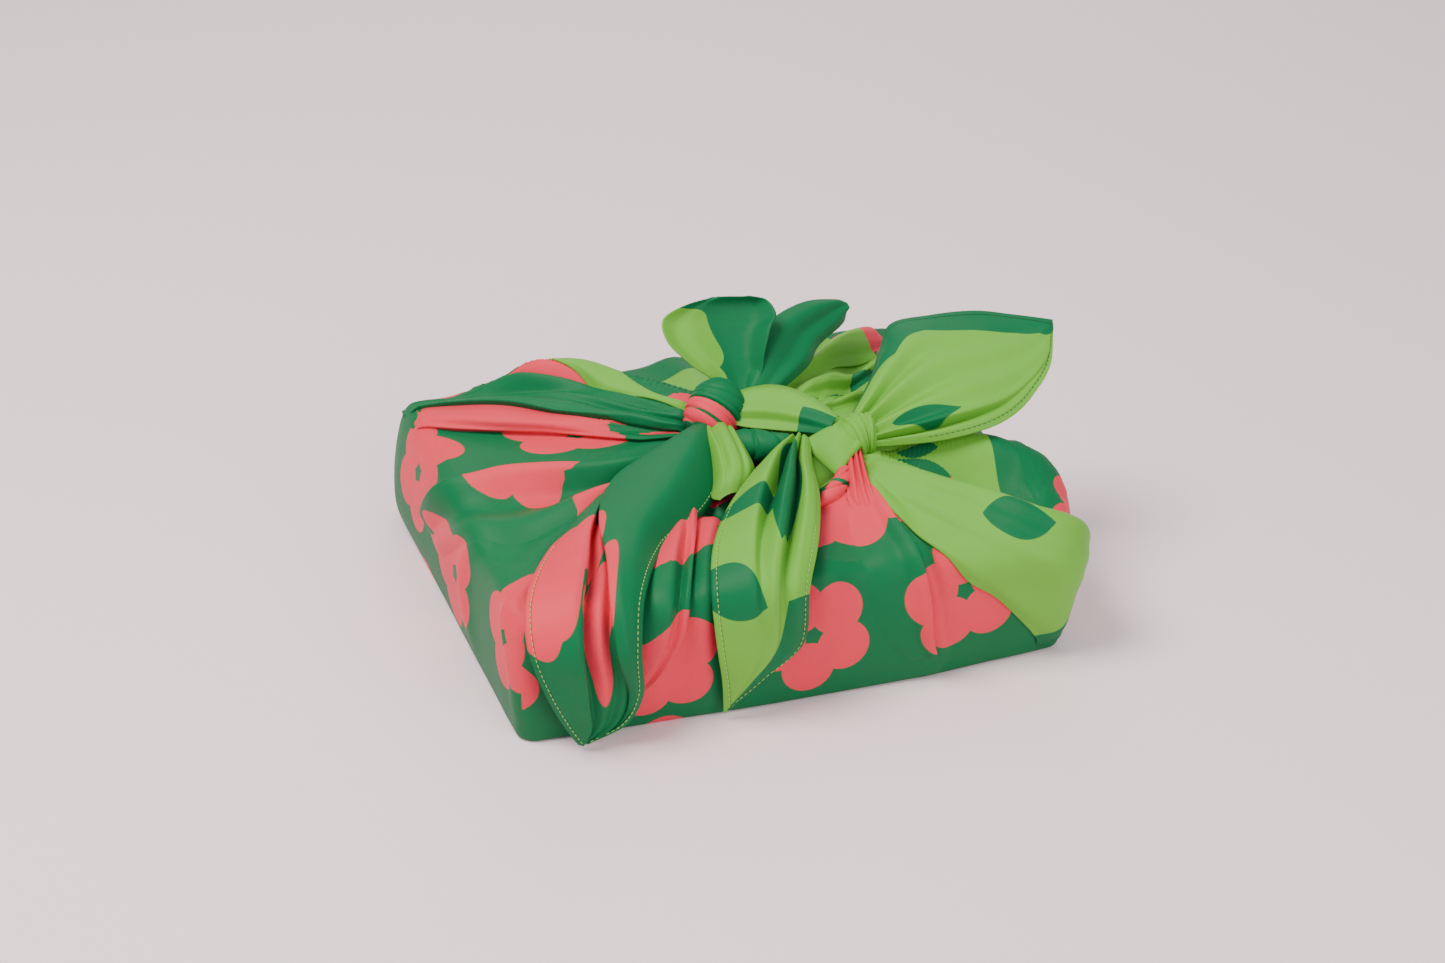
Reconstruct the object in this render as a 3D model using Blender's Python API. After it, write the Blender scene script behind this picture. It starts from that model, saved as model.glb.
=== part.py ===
# A square of printed cloth tied round a flat carton with two knots on top.
# Sizes below are millimetres; finished meshes are metres, +Z up.
# The origin is the middle of the face that the wrap rests on.
import math

import bmesh
import bpy
import numpy as np

MM = 0.001

# Driving dimensions
WRAP_WIDTH = 330.0        # along X, over the cloth on the front wall
WRAP_DEPTH = 270.0        # along Y, over the cloth on the side walls
WRAP_HEIGHT = 78.0        # the cloth on the flat of the top
CLOTH_THICKNESS = 2.0
CORNER_RADIUS = 9.0       # upright corners, seen from above
CARTON_CLEARANCE = 2.6    # between the cloth and the carton's sides and top
CARTON_FLOOR_GAP = 0.3    # between the cloth and the carton's underside
CARTON_EDGE = 1.5

# Where the cloth round the carton is gathered in under the knots.
# around: millimetres round the top edge from the front left corner, going right.
# x, y, z: the place on the gathered rim that this part of the cloth runs to.
GATHER = [
    # around, x, y, z
    (0, -30, -26, 86),
    (75, -26, -48, 83),
    (140, 2, -60, 84),
    (200, 36, -70, 88),
    (262, 64, -70, 91),
    (330, 74, -58, 95),
    (420, 80, -44, 99),
    (520, 76, -26, 101),
    (600, 62, -4, 103),
    (690, 44, 14, 103),
    (790, 16, 30, 102),
    (880, -6, 33, 101),
    (930, -15, 26, 101),
    (1000, -21, 14, 98),
    (1100, -27, -4, 92),
]

# How far each wall stands out at the floor and at its fullest, and how high
# up that is.
WALL_BULGE = [
    # around, out at the floor, out at the fullest, height
    (0, 1.0, 2.5, 24),
    (70, 4.0, 5.5, 20),
    (150, 7.0, 8.0, 16),
    (240, 7.5, 9.0, 16),
    (290, 4.0, 7.0, 30),
    (335, 1.0, 7.0, 60),
    (400, 2.0, 11.0, 60),
    (500, 2.0, 8.0, 50),
    (600, 0.5, 2.0, 40),
    (765, 3.0, 5.0, 38),
    (918, 1.0, 5.0, 20),
    (950, 6.0, 11.0, 20),
    (1070, 4.0, 6.5, 26),
    (1170, 2.0, 4.5, 28),
]

# Heights of the rings up the wall, and how far each lies in from the wall.
WALL_RINGS = [
    # height, inset
    (0.0, 3.0),
    (0.8, 0.9),
    (3.5, 0.0),
    (12.0, 0.0),
    (26.0, 0.0),
    (42.0, 0.0),
    (58.0, 0.0),
    (69.0, 0.4),
    (75.4, 2.6),
    (78.0, 8.0),
]

# Rings over the top, as shares of the way from the top edge to the gather.
TOP_RINGS = [0.10, 0.22, 0.35, 0.48, 0.61, 0.73, 0.84, 0.93, 1.0]
TOP_RISE = 1.7            # above 1, the cloth lies flat before it climbs

# Inside the gathered rim the cloth dips towards a slit under the knots.
SLIT_MIDDLE = (22, -16)
SLIT_RINGS = [
    # share of the way to the middle, drop
    (0.30, 3.0),
    (0.68, 9.0),
]

# Columns round the walls: closer together at the corners and where pleats run.
COLUMN_STEPS = [
    # from, to, spacing
    (0, 10, 5),
    (10, 70, 15),
    (70, 270, 25),
    (270, 320, 12.5),
    (320, 340, 5),
    (340, 420, 13),
    (420, 540, 20),
    (540, 590, 12.5),
    (590, 610, 5),
    (610, 670, 12),
    (670, 820, 30),
    (820, 920, 8.5),
    (920, 940, 5),
    (940, 980, 10),
    (980, 1070, 18),
    (1070, 1190, 24),
    (1190, 1200, 5),
]

# Pleats of the cloth: each is a ridge along a path, with a height at every
# point of the path. Left and right are the widths of its two slopes, seen
# from outside while going along it. lean pushes the crest to its right.
FOLDS = [
    # name, path of x, y, z and height, left, right, lean
    ("rear pleat",
     [(-124, 130, 78, 2), (-106, 115, 79, 15), (-84, 98, 80, 29), (-48, 70, 84, 21), (-10, 36, 97, 5)],
     10, 9, 0),
    ("rear pleat, second",
     [(-160, 122, 78, 1), (-120, 95, 79, 9), (-80, 70, 80, 13), (-48, 50, 84, 9), (-16, 28, 97, 4)],
     9, 9, 2),
    ("rear pleat, third",
     [(-163, 112, 78, 1), (-118, 80, 79, 7), (-70, 48, 81, 9), (-20, 18, 97, 4)],
     8, 5, 3),
    ("back strip",
     [(-74, 122, 78, 2), (-58, 101, 79, 21), (-34, 74, 83, 12), (-2, 38, 98, 3)],
     10, 10, 0),
    ("left fold edge",
     [(-168, 46, 52, 2), (-158, 24, 74, 5), (-128, 17, 79, 7), (-98, 8, 80, 7), (-60, -6, 83, 5)],
     4, 26, -2),
    ("left fold front",
     [(-163, -100, 76, 2), (-128, -68, 80, 8), (-90, -46, 81, 10), (-48, -34, 84, 4)],
     14, 14, 0),
    ("front fold, left",
     [(-90, -141, 20, 1), (-88, -136, 70, 6), (-70, -100, 79, 9), (-38, -56, 82, 4)],
     9, 8, 0),
    ("front fold, middle",
     [(-60, -141, 16, 1), (-58, -136, 72, 7), (-44, -98, 79, 10), (-22, -56, 82, 4)],
     8, 8, 0),
    ("front gather, left",
     [(8, -140, 40, 0), (14, -132, 76, 5), (26, -100, 80, 7), (44, -76, 86, 3)],
     14, 12, 0),
    ("front gather, right",
     [(84, -142, 14, 2), (80, -140, 52, 5), (73, -126, 77, 8), (66, -90, 82, 8), (63, -72, 90, 3)],
     18, 5, 0),
    ("right band edge",
     [(158, -141, 8, 4), (134, -141, 34, 7), (110, -140, 58, 9), (88, -124, 77, 9),
      (74, -94, 83, 7), (68, -72, 90, 4)],
     6, 24, 0),
    ("right band crest",
     [(172, -128, 52, 2), (164, -136, 66, 9), (150, -134, 77, 14), (122, -116, 79, 16),
      (96, -90, 82, 12), (76, -60, 95, 3)],
     16, 16, 0),
    ("right tent crest",
     [(176, -104, 50, 6), (174, -90, 64, 12), (160, -72, 78, 23), (138, -58, 79, 26),
      (108, -50, 85, 20), (82, -44, 98, 3)],
     24, 22, 0),
    ("right tent second",
     [(166, -104, 70, 3), (146, -88, 79, 8), (112, -68, 84, 8), (84, -52, 96, 2)],
     9, 8, 0),
    ("back right pleat",
     [(158, 128, 78, 2), (122, 98, 79, 16), (92, 62, 82, 17), (58, 8, 100, 4)],
     10, 10, 0),
    ("back right pleat, outer",
     [(146, 132, 78, 1), (104, 104, 79, 15), (72, 62, 82, 16), (48, 16, 100, 4)],
     10, 10, 0),
    ("back right pleat, inner",
     [(162, 110, 78, 2), (126, 66, 80, 11), (96, 26, 84, 11), (70, -8, 100, 4)],
     9, 9, 0),
    ("back right pleat, low",
     [(166, 80, 76, 2), (132, 36, 80, 9), (98, 2, 86, 9), (76, -20, 100, 3)],
     9, 9, 0),
    ("back pleat",
     [(6, 138, 60, 1), (10, 122, 78, 6), (14, 80, 80, 7), (14, 40, 98, 3)],
     14, 14, 0),
]

# The free ends and bands of the knots, each a strip of the same cloth.
# A row for each section: its left edge, its right edge, and how far the
# middle stands out.
TAILS = {
    "front left tail": {
        "rows": [
            # left x, y, z, right x, y, z, crown
            (-14, 6, 102, -4, 2, 104, 2),
            (-40, -2, 96, -10, -18, 103, 5),
            (-68, -16, 93, -18, -40, 99, 9),
            (-96, -42, 92, -34, -62, 95, 10),
            (-132, -80, 90, -70, -96, 92, 9),
            (-156, -118, 88, -94, -138, 88, 8),
            (-164, -142, 74, -102, -155, 64, 6),
            (-158, -149, 48, -101, -155, 36, 5),
            (-146, -150, 20, -110, -153, 15, 3),
            (-137, -150, 4, -131, -150, 4, 0),
        ],
        "folds": [
            # across at start, across at end, heights at start, middle and end, width
            (0.55, 0.58, 1, -11, -4, 0.11),
            (0.28, 0.30, 0, 4, 1, 0.16),
        ],
    },
    "front right tail": {
        "rows": [
            (30, -24, 102, 42, -32, 104, 2),
            (14, -38, 102, 34, -56, 104, 4),
            (-4, -54, 100, 28, -84, 102, 6),
            (-28, -82, 97, 18, -112, 98, 7),
            (-46, -112, 93, 8, -134, 93, 8),
            (-57, -142, 84, -2, -150, 80, 7),
            (-56, -150, 54, -4, -149, 46, 5),
            (-52, -149, 28, -24, -149, 28, 3),
            (-50, -147, 5, -46, -147, 8, 0),
        ],
        "folds": [
            (0.62, 0.70, 1, -9, -3, 0.12),
            (0.36, 0.40, 1, 5, 1, 0.13),
        ],
    },
    "right leaf tail": {
        "rows": [
            (66, -30, 112, 68, -44, 102, 2),
            (88, -6, 124, 90, -52, 104, 5),
            (102, 12, 137, 116, -60, 107, 8),
            (113, 22, 146, 142, -62, 111, 8),
            (136, 18, 149, 160, -58, 115, 6),
            (164, 14, 149, 177, -48, 121, 4),
            (187, 8, 146, 195, -32, 130, 2),
            (210, 0, 143, 208, -6, 140, 0),
        ],
        "folds": [
            (0.62, 0.55, 2, -4, 0, 0.12),
            (0.85, 0.84, 2, 5, 1, 0.08),
        ],
    },
    "back tail, left lobe": {
        "rows": [
            (4, 20, 108, 14, 12, 108, 2),
            (0, 28, 121, 29, 22, 121, -3),
            (-13, 32, 132, 34, 29, 134, -7),
            (-24, 40, 143, 40, 36, 146, -9),
            (-23, 51, 152, 45, 40, 152, -8),
            (-7, 55, 158, 42, 48, 158, -5),
            (10, 56, 161, 32, 51, 161, 0),
        ],
        "folds": [
            (0.35, 0.20, 0, 4, 2, 0.16),
            (0.80, 0.86, 1, -4, -1, 0.12),
        ],
    },
    "back tail, right lobe": {
        "rows": [
            (14, 16, 108, 22, 8, 106, 2),
            (28, 30, 120, 42, 22, 116, 5),
            (40, 44, 131, 60, 36, 121, 7),
            (53, 54, 140, 72, 50, 126, 8),
            (73, 61, 144, 93, 60, 130, 6),
            (93, 66, 142, 99, 60, 135, 2),
            (101, 65, 139, 102, 62, 137, 0),
        ],
        "folds": [
            (0.60, 0.55, 1, -4, -1, 0.14),
        ],
    },
    "middle band": {
        "rows": [
            (6, 20, 112, 2, 2, 104, 2),
            (24, 20, 117, 12, -6, 103, 5),
            (40, 12, 119, 26, -13, 103, 6),
            (54, -4, 117, 42, -22, 104, 5),
            (64, -22, 112, 54, -32, 106, 3),
        ],
        "folds": [
            (0.80, 0.75, 1, -3, -1, 0.12),
        ],
    },
    "under loop": {
        "rows": [
            (-16, 8, 102, 4, -2, 104, 2),
            (-20, -14, 99, 4, -26, 102, 5),
            (-24, -32, 95, 2, -36, 98, 5),
            (-22, -42, 91, -4, -42, 93, 2),
            (-16, -36, 88, 0, -34, 90, 0),
            (-14, -18, 90, 2, -16, 92, 0),
            (-10, 2, 98, 4, 2, 100, 0),
        ],
        "folds": [
            (0.50, 0.50, 1, 4, 1, 0.16),
        ],
    },
}

# Knots: each wrapped barrel goes along a line, with a radius at each station.
KNOTS = {
    "left knot": {
        "stations": [
            # x, y, z, radius
            (12, 24, 110, 5),
            (8, 21, 110, 14),
            (2, 17, 109, 17),
            (-3, 13, 107, 16),
            (-8, 9, 104, 18),
            (-14, 4, 101, 15),
            (-18, 1, 99, 5),
        ],
    },
    "right knot": {
        "stations": [
            (34, -28, 101, 5),
            (40, -31, 103, 14),
            (50, -36, 104, 19),
            (60, -37, 106, 19),
            (67, -37, 107, 16),
            (75, -38, 106, 14),
            (82, -39, 106, 6),
        ],
    },
    "cross roll": {
        "stations": [
            (0, -6, 101, 3),
            (8, -14, 101, 7),
            (20, -21, 101, 7),
            (32, -27, 101, 6),
            (44, -32, 102, 3),
        ],
    },
    "front gather strand": {
        "stations": [
            (64, -40, 103, 4),
            (68, -52, 99, 9),
            (68, -62, 94, 9),
            (65, -72, 89, 9),
            (62, -84, 84, 3),
        ],
    },
    "front gather twist": {
        "stations": [
            (52, -40, 101, 3),
            (50, -56, 95, 5),
            (42, -67, 90, 6),
            (32, -74, 85, 3),
        ],
    },
}

KNOT_SIDES = 10
TAIL_COLUMNS = 7
TAIL_ROWS_PER_SECTION = 1.5


def smooth_path(points, share):
    """Places on a smooth curve through points, at shares of its length from 0 to 1."""
    points = np.array(points, float)
    padded = np.vstack([2 * points[0] - points[1], points, 2 * points[-1] - points[-2]])
    place = np.clip(np.asarray(share, float), 0, 1) * (len(points) - 1)
    first = np.minimum(place.astype(int), len(points) - 2)
    rest = (place - first)[:, None]
    a, b, c, d = (padded[first + shift] for shift in range(4))
    return 0.5 * (2 * b + (c - a) * rest + (2 * a - 5 * b + 4 * c - d) * rest ** 2
                  + (3 * b - a - 3 * c + d) * rest ** 3)


def three_heights(heights, share):
    """A height along a strip's fold, from its values at the start, middle and end."""
    start, middle, end = heights
    swell = np.sin(np.pi * share)
    return start * (1 - share) + end * share + (middle - (start + end) / 2) * swell


def round_the_loop(table, around):
    """Reads a table whose first column goes once round the wrap."""
    length = 2 * (WRAP_WIDTH + WRAP_DEPTH)
    table = np.array(table, float)
    before, after = table[-1].copy(), table[0].copy()
    before[0] -= length
    after[0] += length
    table = np.vstack([before, table, after])
    places = table[:, 0]
    index = np.clip(np.searchsorted(places, around, side="right") - 1, 0, len(places) - 2)
    share = (around - places[index]) / (places[index + 1] - places[index])
    share = (share * share * (3 - 2 * share) + share) / 2
    return table[index, 1:] * (1 - share)[:, None] + table[index + 1, 1:] * share[:, None]


def wall_places(around, inset):
    """Places on the outline of the walls, drawn in by inset, with round corners."""
    half_x = WRAP_WIDTH / 2
    half_y = WRAP_DEPTH / 2
    sharp = np.zeros((len(around), 2))
    for row, run in enumerate(around % (2 * (WRAP_WIDTH + WRAP_DEPTH))):
        if run < WRAP_WIDTH:
            sharp[row] = (run - half_x, -half_y)
        elif run < WRAP_WIDTH + WRAP_DEPTH:
            sharp[row] = (half_x, run - WRAP_WIDTH - half_y)
        elif run < 2 * WRAP_WIDTH + WRAP_DEPTH:
            sharp[row] = (half_x - (run - WRAP_WIDTH - WRAP_DEPTH), half_y)
        else:
            sharp[row] = (-half_x, half_y - (run - 2 * WRAP_WIDTH - WRAP_DEPTH))
    core = np.array([half_x - CORNER_RADIUS, half_y - CORNER_RADIUS])
    inner = np.clip(sharp, -core, core)
    outward = sharp - inner
    outward /= np.linalg.norm(outward, axis=1)[:, None]
    return inner + outward * (CORNER_RADIUS - inset[:, None]), outward


def wrap_grid(around):
    """Rings of points up the walls and over the top to the gathered rim."""
    foot, bulge, full_height = round_the_loop(WALL_BULGE, around).T
    gather = round_the_loop(GATHER, around)
    rings = []
    for height, inset in WALL_RINGS:
        below = np.clip(height / full_height, 0, 1)
        above = np.clip((height - full_height) / (WRAP_HEIGHT - full_height), 0, 1)
        out = foot + (bulge - foot) * np.sin(below * math.pi / 2) - bulge * above ** 2
        plan, outward = wall_places(around, np.full(len(around), inset))
        plan = plan + outward * out[:, None]
        rings.append(np.column_stack([plan, np.full(len(around), height)]))
    edge = rings[-1]
    for share in TOP_RINGS:
        ring = edge + (gather - edge) * share
        ring[:, 2] = edge[:, 2] + (gather[:, 2] - edge[:, 2]) * share ** TOP_RISE
        rings.append(ring)
    for share, drop in SLIT_RINGS:
        ring = gather.copy()
        ring[:, :2] += (np.array(SLIT_MIDDLE) - gather[:, :2]) * share
        ring[:, 2] -= drop
        rings.append(ring)
    return np.array(rings)


def grid_normals(grid, closed):
    """Outward directions at the points of a grid whose columns may close in a loop."""
    if closed:
        across = np.roll(grid, -1, axis=1) - np.roll(grid, 1, axis=1)
    else:
        across = np.gradient(grid, axis=1)
    along = np.gradient(grid, axis=0)
    normals = np.cross(across, along)
    return normals / np.maximum(np.linalg.norm(normals, axis=2), 1e-9)[..., None]


def raise_folds(grid, normals, folds):
    """Adds each pleat and crease to the points near its path."""
    points = grid.reshape(-1, 3)
    facing = normals.reshape(-1, 3)
    moved = points.copy()
    shares = np.linspace(0, 1, 60)
    for _name, path, left, right, lean in folds:
        table = smooth_path(path, shares)
        line, heights = table[:, :3], table[:, 3]
        along = np.gradient(line, axis=0)
        along /= np.linalg.norm(along, axis=1)[:, None]
        away = points[:, None] - line[None]
        above = (away * facing[:, None]).sum(2)
        flat = away - above[..., None] * facing[:, None]
        distance = np.linalg.norm(flat, axis=2) + 0.3 * np.abs(above)
        nearest = distance.argmin(axis=1)
        rows = np.arange(len(points))
        right_hand = np.cross(along[nearest], facing)
        side = (flat[rows, nearest] * right_hand).sum(1)
        width = np.where(side > 0, right, left)
        shape = np.exp(-(distance[rows, nearest] / width) ** 2)
        moved += facing * (heights[nearest] * shape)[:, None]
        moved += right_hand * (lean * shape)[:, None]
    return moved.reshape(grid.shape)


def columns_round():
    """Where the columns of the wrap stand, round its walls."""
    places = []
    for start, end, spacing in COLUMN_STEPS:
        places.extend(np.linspace(start, end, round((end - start) / spacing), endpoint=False))
    return np.array(places)


def grid_object(name, grid, closed, base_centre=False):
    """A mesh of the grid's faces, with its base closed at one middle point if asked."""
    rows, columns = grid.shape[:2]
    mesh = bpy.data.meshes.new(name)
    work = bmesh.new()
    corners = [[work.verts.new(point * MM) for point in ring] for ring in grid]
    for row in range(rows - 1):
        for column in range(columns if closed else columns - 1):
            beside = (column + 1) % columns
            work.faces.new((corners[row][column], corners[row][beside],
                            corners[row + 1][beside], corners[row + 1][column]))
    if base_centre:
        middle = work.verts.new((0, 0, 0))
        for column in range(columns):
            work.faces.new((corners[0][(column + 1) % columns], corners[0][column], middle))
    work.to_mesh(mesh)
    work.free()
    made = bpy.data.objects.new(name, mesh)
    bpy.context.scene.collection.objects.link(made)
    return made


def thicken(made, offset):
    """Gives a sheet its thickness: offset -1 inwards, 0 both ways."""
    solid = made.modifiers.new("thickness", "SOLIDIFY")
    solid.thickness = CLOTH_THICKNESS * MM
    solid.offset = offset
    solid.use_even_offset = False


def wrap_body():
    """The cloth round the carton, with its pleats."""
    grid = wrap_grid(columns_round())
    lifted = raise_folds(grid, grid_normals(grid, True), FOLDS)
    flat_rings = 3
    lifted[:flat_rings] = grid[:flat_rings]
    over_carton = lifted[len(WALL_RINGS) - 1:, :, 2]
    np.maximum(over_carton, WRAP_HEIGHT, out=over_carton)
    made = grid_object("cloth", lifted, True, base_centre=True)
    thicken(made, -1)
    return made


def tail_grid(rows, folds, columns, steps):
    """Points of a strip between its two edges, with its crown and folds."""
    rows = np.array(rows, float)
    share = np.linspace(0, 1, steps)
    table = smooth_path(rows, share)
    left, right, crown = table[:, :3], table[:, 3:6], table[:, 6]
    across = np.linspace(0, 1, columns)
    grid = left[:, None] + (right - left)[:, None] * across[None, :, None]
    along = np.gradient((left + right) / 2, axis=0)
    facing = np.cross(right - left, along)
    facing /= np.linalg.norm(facing, axis=1)[:, None]
    middle = facing[steps // 2]
    if middle @ np.array([-0.3, -0.8, 0.5]) < 0:
        facing = -facing
    lift = crown[:, None] * (4 * across * (1 - across))[None]
    for at_start, at_end, start, centre, end, width in folds:
        place = at_start * (1 - share) + at_end * share
        height = three_heights((start, centre, end), share)
        lift = lift + height[:, None] * np.exp(-((across[None] - place[:, None]) / width) ** 2)
    return grid + facing[:, None] * lift[..., None]


def tail_object(name, shape):
    """One free end or band, as a thin strip."""
    steps = round(len(shape["rows"]) * TAIL_ROWS_PER_SECTION)
    made = grid_object(name, tail_grid(shape["rows"], shape["folds"], TAIL_COLUMNS, steps), False)
    thicken(made, 0)
    return made


def knot_object(name, stations):
    """A closed barrel along its stations, with a pointed cap at each end."""
    stations = np.array(stations, float)
    line, radii = stations[:, :3], stations[:, 3]
    along = np.gradient(line, axis=0)
    along /= np.linalg.norm(along, axis=1)[:, None]
    sideways = np.cross(along, [0, 0, 1])
    sideways /= np.linalg.norm(sideways, axis=1)[:, None]
    upward = np.cross(sideways, along)
    turn = np.linspace(0, 2 * math.pi, KNOT_SIDES, endpoint=False)
    ring = np.cos(turn)[None, :, None] * sideways[:, None] + np.sin(turn)[None, :, None] * upward[:, None]
    grid = line[:, None] + ring * radii[:, None, None]
    made = grid_object(name, grid, True)
    work = bmesh.new()
    work.from_mesh(made.data)
    bmesh.ops.holes_fill(work, edges=[edge for edge in work.edges if edge.is_boundary])
    bmesh.ops.recalc_face_normals(work, faces=work.faces)
    work.to_mesh(made.data)
    work.free()
    return made


def material(name, colour, roughness):
    """A plain finish for one piece."""
    made = bpy.data.materials.new(name)
    made.use_nodes = True
    shader = made.node_tree.nodes["Principled BSDF"]
    shader.inputs["Base Color"].default_value = (*colour, 1)
    shader.inputs["Roughness"].default_value = roughness
    shader.inputs["Metallic"].default_value = 0
    return made


def carton():
    """The flat carton inside, a plain block with broken edges."""
    gap = CLOTH_THICKNESS + CARTON_CLEARANCE
    floor = CLOTH_THICKNESS + CARTON_FLOOR_GAP
    top = WRAP_HEIGHT - gap
    size = (WRAP_WIDTH - 2 * gap, WRAP_DEPTH - 2 * gap, top - floor)
    bpy.ops.mesh.primitive_cube_add(size=1)
    made = bpy.context.active_object
    made.name = "carton"
    for corner in made.data.vertices:
        corner.co = [corner.co[axis] * size[axis] * MM for axis in range(3)]
        corner.co.z += (floor + size[2] / 2) * MM
    bevel = made.modifiers.new("broken edges", "BEVEL")
    bevel.width = CARTON_EDGE * MM
    bevel.segments = 2
    made.data.materials.append(material("brown card", (0.45, 0.33, 0.20), 0.85))
    return made


def join_to(body, piece):
    """Unites a knot, band or tail with the wrap, so that the cloth is one solid."""
    piece.hide_render = True
    piece.display_type = "WIRE"
    union = body.modifiers.new(piece.name, "BOOLEAN")
    union.operation = "UNION"
    union.solver = "MANIFOLD"
    union.object = piece


for old in list(bpy.data.objects):
    bpy.data.objects.remove(old, do_unlink=True)

carton()
cloth = wrap_body()
for knot_name, knot_shape in KNOTS.items():
    join_to(cloth, knot_object(knot_name, knot_shape["stations"]))
for tail_name, tail_shape in TAILS.items():
    join_to(cloth, tail_object(tail_name, tail_shape))
cloth.data.materials.append(material("green cotton", (0.03, 0.26, 0.10), 0.7))
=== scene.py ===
import math

import bmesh
import bpy
import numpy as np
from mathutils import Matrix, Vector
from mathutils.bvhtree import BVHTree


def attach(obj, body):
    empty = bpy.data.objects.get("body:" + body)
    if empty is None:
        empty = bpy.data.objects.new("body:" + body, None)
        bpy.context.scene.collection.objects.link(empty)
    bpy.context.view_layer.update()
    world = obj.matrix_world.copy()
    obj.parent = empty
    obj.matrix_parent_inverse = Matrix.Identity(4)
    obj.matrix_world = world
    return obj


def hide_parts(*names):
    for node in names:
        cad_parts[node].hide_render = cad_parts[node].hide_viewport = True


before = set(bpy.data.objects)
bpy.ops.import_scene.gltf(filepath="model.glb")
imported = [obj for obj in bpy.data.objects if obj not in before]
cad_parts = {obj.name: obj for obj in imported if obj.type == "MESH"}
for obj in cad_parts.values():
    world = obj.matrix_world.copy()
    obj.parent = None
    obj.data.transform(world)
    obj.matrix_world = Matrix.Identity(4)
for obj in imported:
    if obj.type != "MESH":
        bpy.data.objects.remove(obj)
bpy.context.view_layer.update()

# The studio: a pale table top, one large soft light from the upper left, a
# weaker one from the right, and a camera that looks down on the wrap's front
# left corner. Places are metres, turns are degrees.
MM = 0.001
CAMERA_PLACE = (-0.5239, -1.4618, 0.9843)
CAMERA_YAW, CAMERA_DOWN, CAMERA_ROLL = 19.68, 30.61, 1.19
PICTURE_WIDTH = 1445
FOCAL_LENGTH = 3000       # in pixels of the picture
SENSOR_WIDTH = 36.0
LIGHTS_POINT_AT = Vector((0, 0, 0.05))
FLOOR_SIZE = 8.0
LIGHTS = {
    # name: place, size, power, colour
    "key light": ((-0.90, -0.10, 1.80), 1.0, 48.0, (1.0, 0.97, 0.95)),
    "fill light": ((0.60, -2.00, 1.20), 1.8, 30.0, (1.0, 0.96, 0.98)),
    "rim light": ((0.60, 1.70, 1.30), 1.2, 8.0, (0.97, 0.96, 1.0)),
}


def add_node(tree, kind, inputs=None, **settings):
    """A shader or geometry node, with its settings and its inputs set or linked."""
    made = tree.nodes.new(kind)
    for key, value in settings.items():
        setattr(made, key, value)
    for key, value in (inputs or {}).items():
        if isinstance(value, bpy.types.NodeSocket):
            tree.links.new(value, made.inputs[key])
        else:
            made.inputs[key].default_value = value
    return made


def calc(tree, operation, *values):
    """One Math node and its result."""
    return add_node(tree, "ShaderNodeMath", dict(enumerate(values)), operation=operation).outputs[0]


def finish_material(name, roughness, sheen=0.0, specular=0.5):
    """A new material, its node tree and its shader."""
    made = bpy.data.materials.new(name)
    made.use_nodes = True
    shader = made.node_tree.nodes["Principled BSDF"]
    shader.inputs["Roughness"].default_value = roughness
    shader.inputs["Sheen Weight"].default_value = sheen
    shader.inputs["Sheen Roughness"].default_value = 0.45
    shader.inputs["Specular IOR Level"].default_value = specular
    return made, made.node_tree, shader


yaw, down, roll = (math.radians(turn) for turn in (CAMERA_YAW, CAMERA_DOWN, CAMERA_ROLL))
forward = Vector((math.sin(yaw) * math.cos(down), math.cos(yaw) * math.cos(down), -math.sin(down)))
level = Vector((math.cos(yaw), -math.sin(yaw), 0))
right = math.cos(roll) * level + math.sin(roll) * level.cross(forward)
upward = -math.sin(roll) * level + math.cos(roll) * level.cross(forward)
lens = bpy.data.cameras.new("camera")
lens.sensor_width = SENSOR_WIDTH
lens.lens = FOCAL_LENGTH / PICTURE_WIDTH * SENSOR_WIDTH
camera = bpy.data.objects.new("camera", lens)
camera.matrix_world = Matrix((right, upward, -forward)).transposed().to_4x4()
camera.location = CAMERA_PLACE
bpy.context.scene.collection.objects.link(camera)
bpy.context.scene.camera = camera

for light_name, (place, size, power, colour) in LIGHTS.items():
    light = bpy.data.lights.new(light_name, "AREA")
    light.shape = "DISK"
    light.size = size
    light.energy = power
    light.color = colour
    lamp = bpy.data.objects.new(light_name, light)
    lamp.location = place
    lamp.rotation_euler = (LIGHTS_POINT_AT - Vector(place)).to_track_quat("-Z", "Y").to_euler()
    bpy.context.scene.collection.objects.link(lamp)
sky = bpy.data.worlds.new("studio walls")
sky.use_nodes = True
sky.node_tree.nodes["Background"].inputs["Color"].default_value = (0.96, 0.93, 0.96, 1)
sky.node_tree.nodes["Background"].inputs["Strength"].default_value = 0.66
bpy.context.scene.world = sky

bpy.ops.mesh.primitive_plane_add(size=FLOOR_SIZE)
floor = bpy.context.active_object
floor.name = "table_top"
pale, tree, shader = finish_material("pale table top", 0.6)
grain = add_node(tree, "ShaderNodeTexNoise", {"Scale": 3.0, "Detail": 2.0})
tone = add_node(tree, "ShaderNodeValToRGB", {"Fac": grain.outputs["Fac"]})
tone.color_ramp.elements[0].color = (0.90, 0.74, 0.76, 1)
tone.color_ramp.elements[1].color = (0.95, 0.78, 0.80, 1)
tree.links.new(tone.outputs["Color"], shader.inputs["Base Color"])
floor.data.materials.append(pale)

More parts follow.
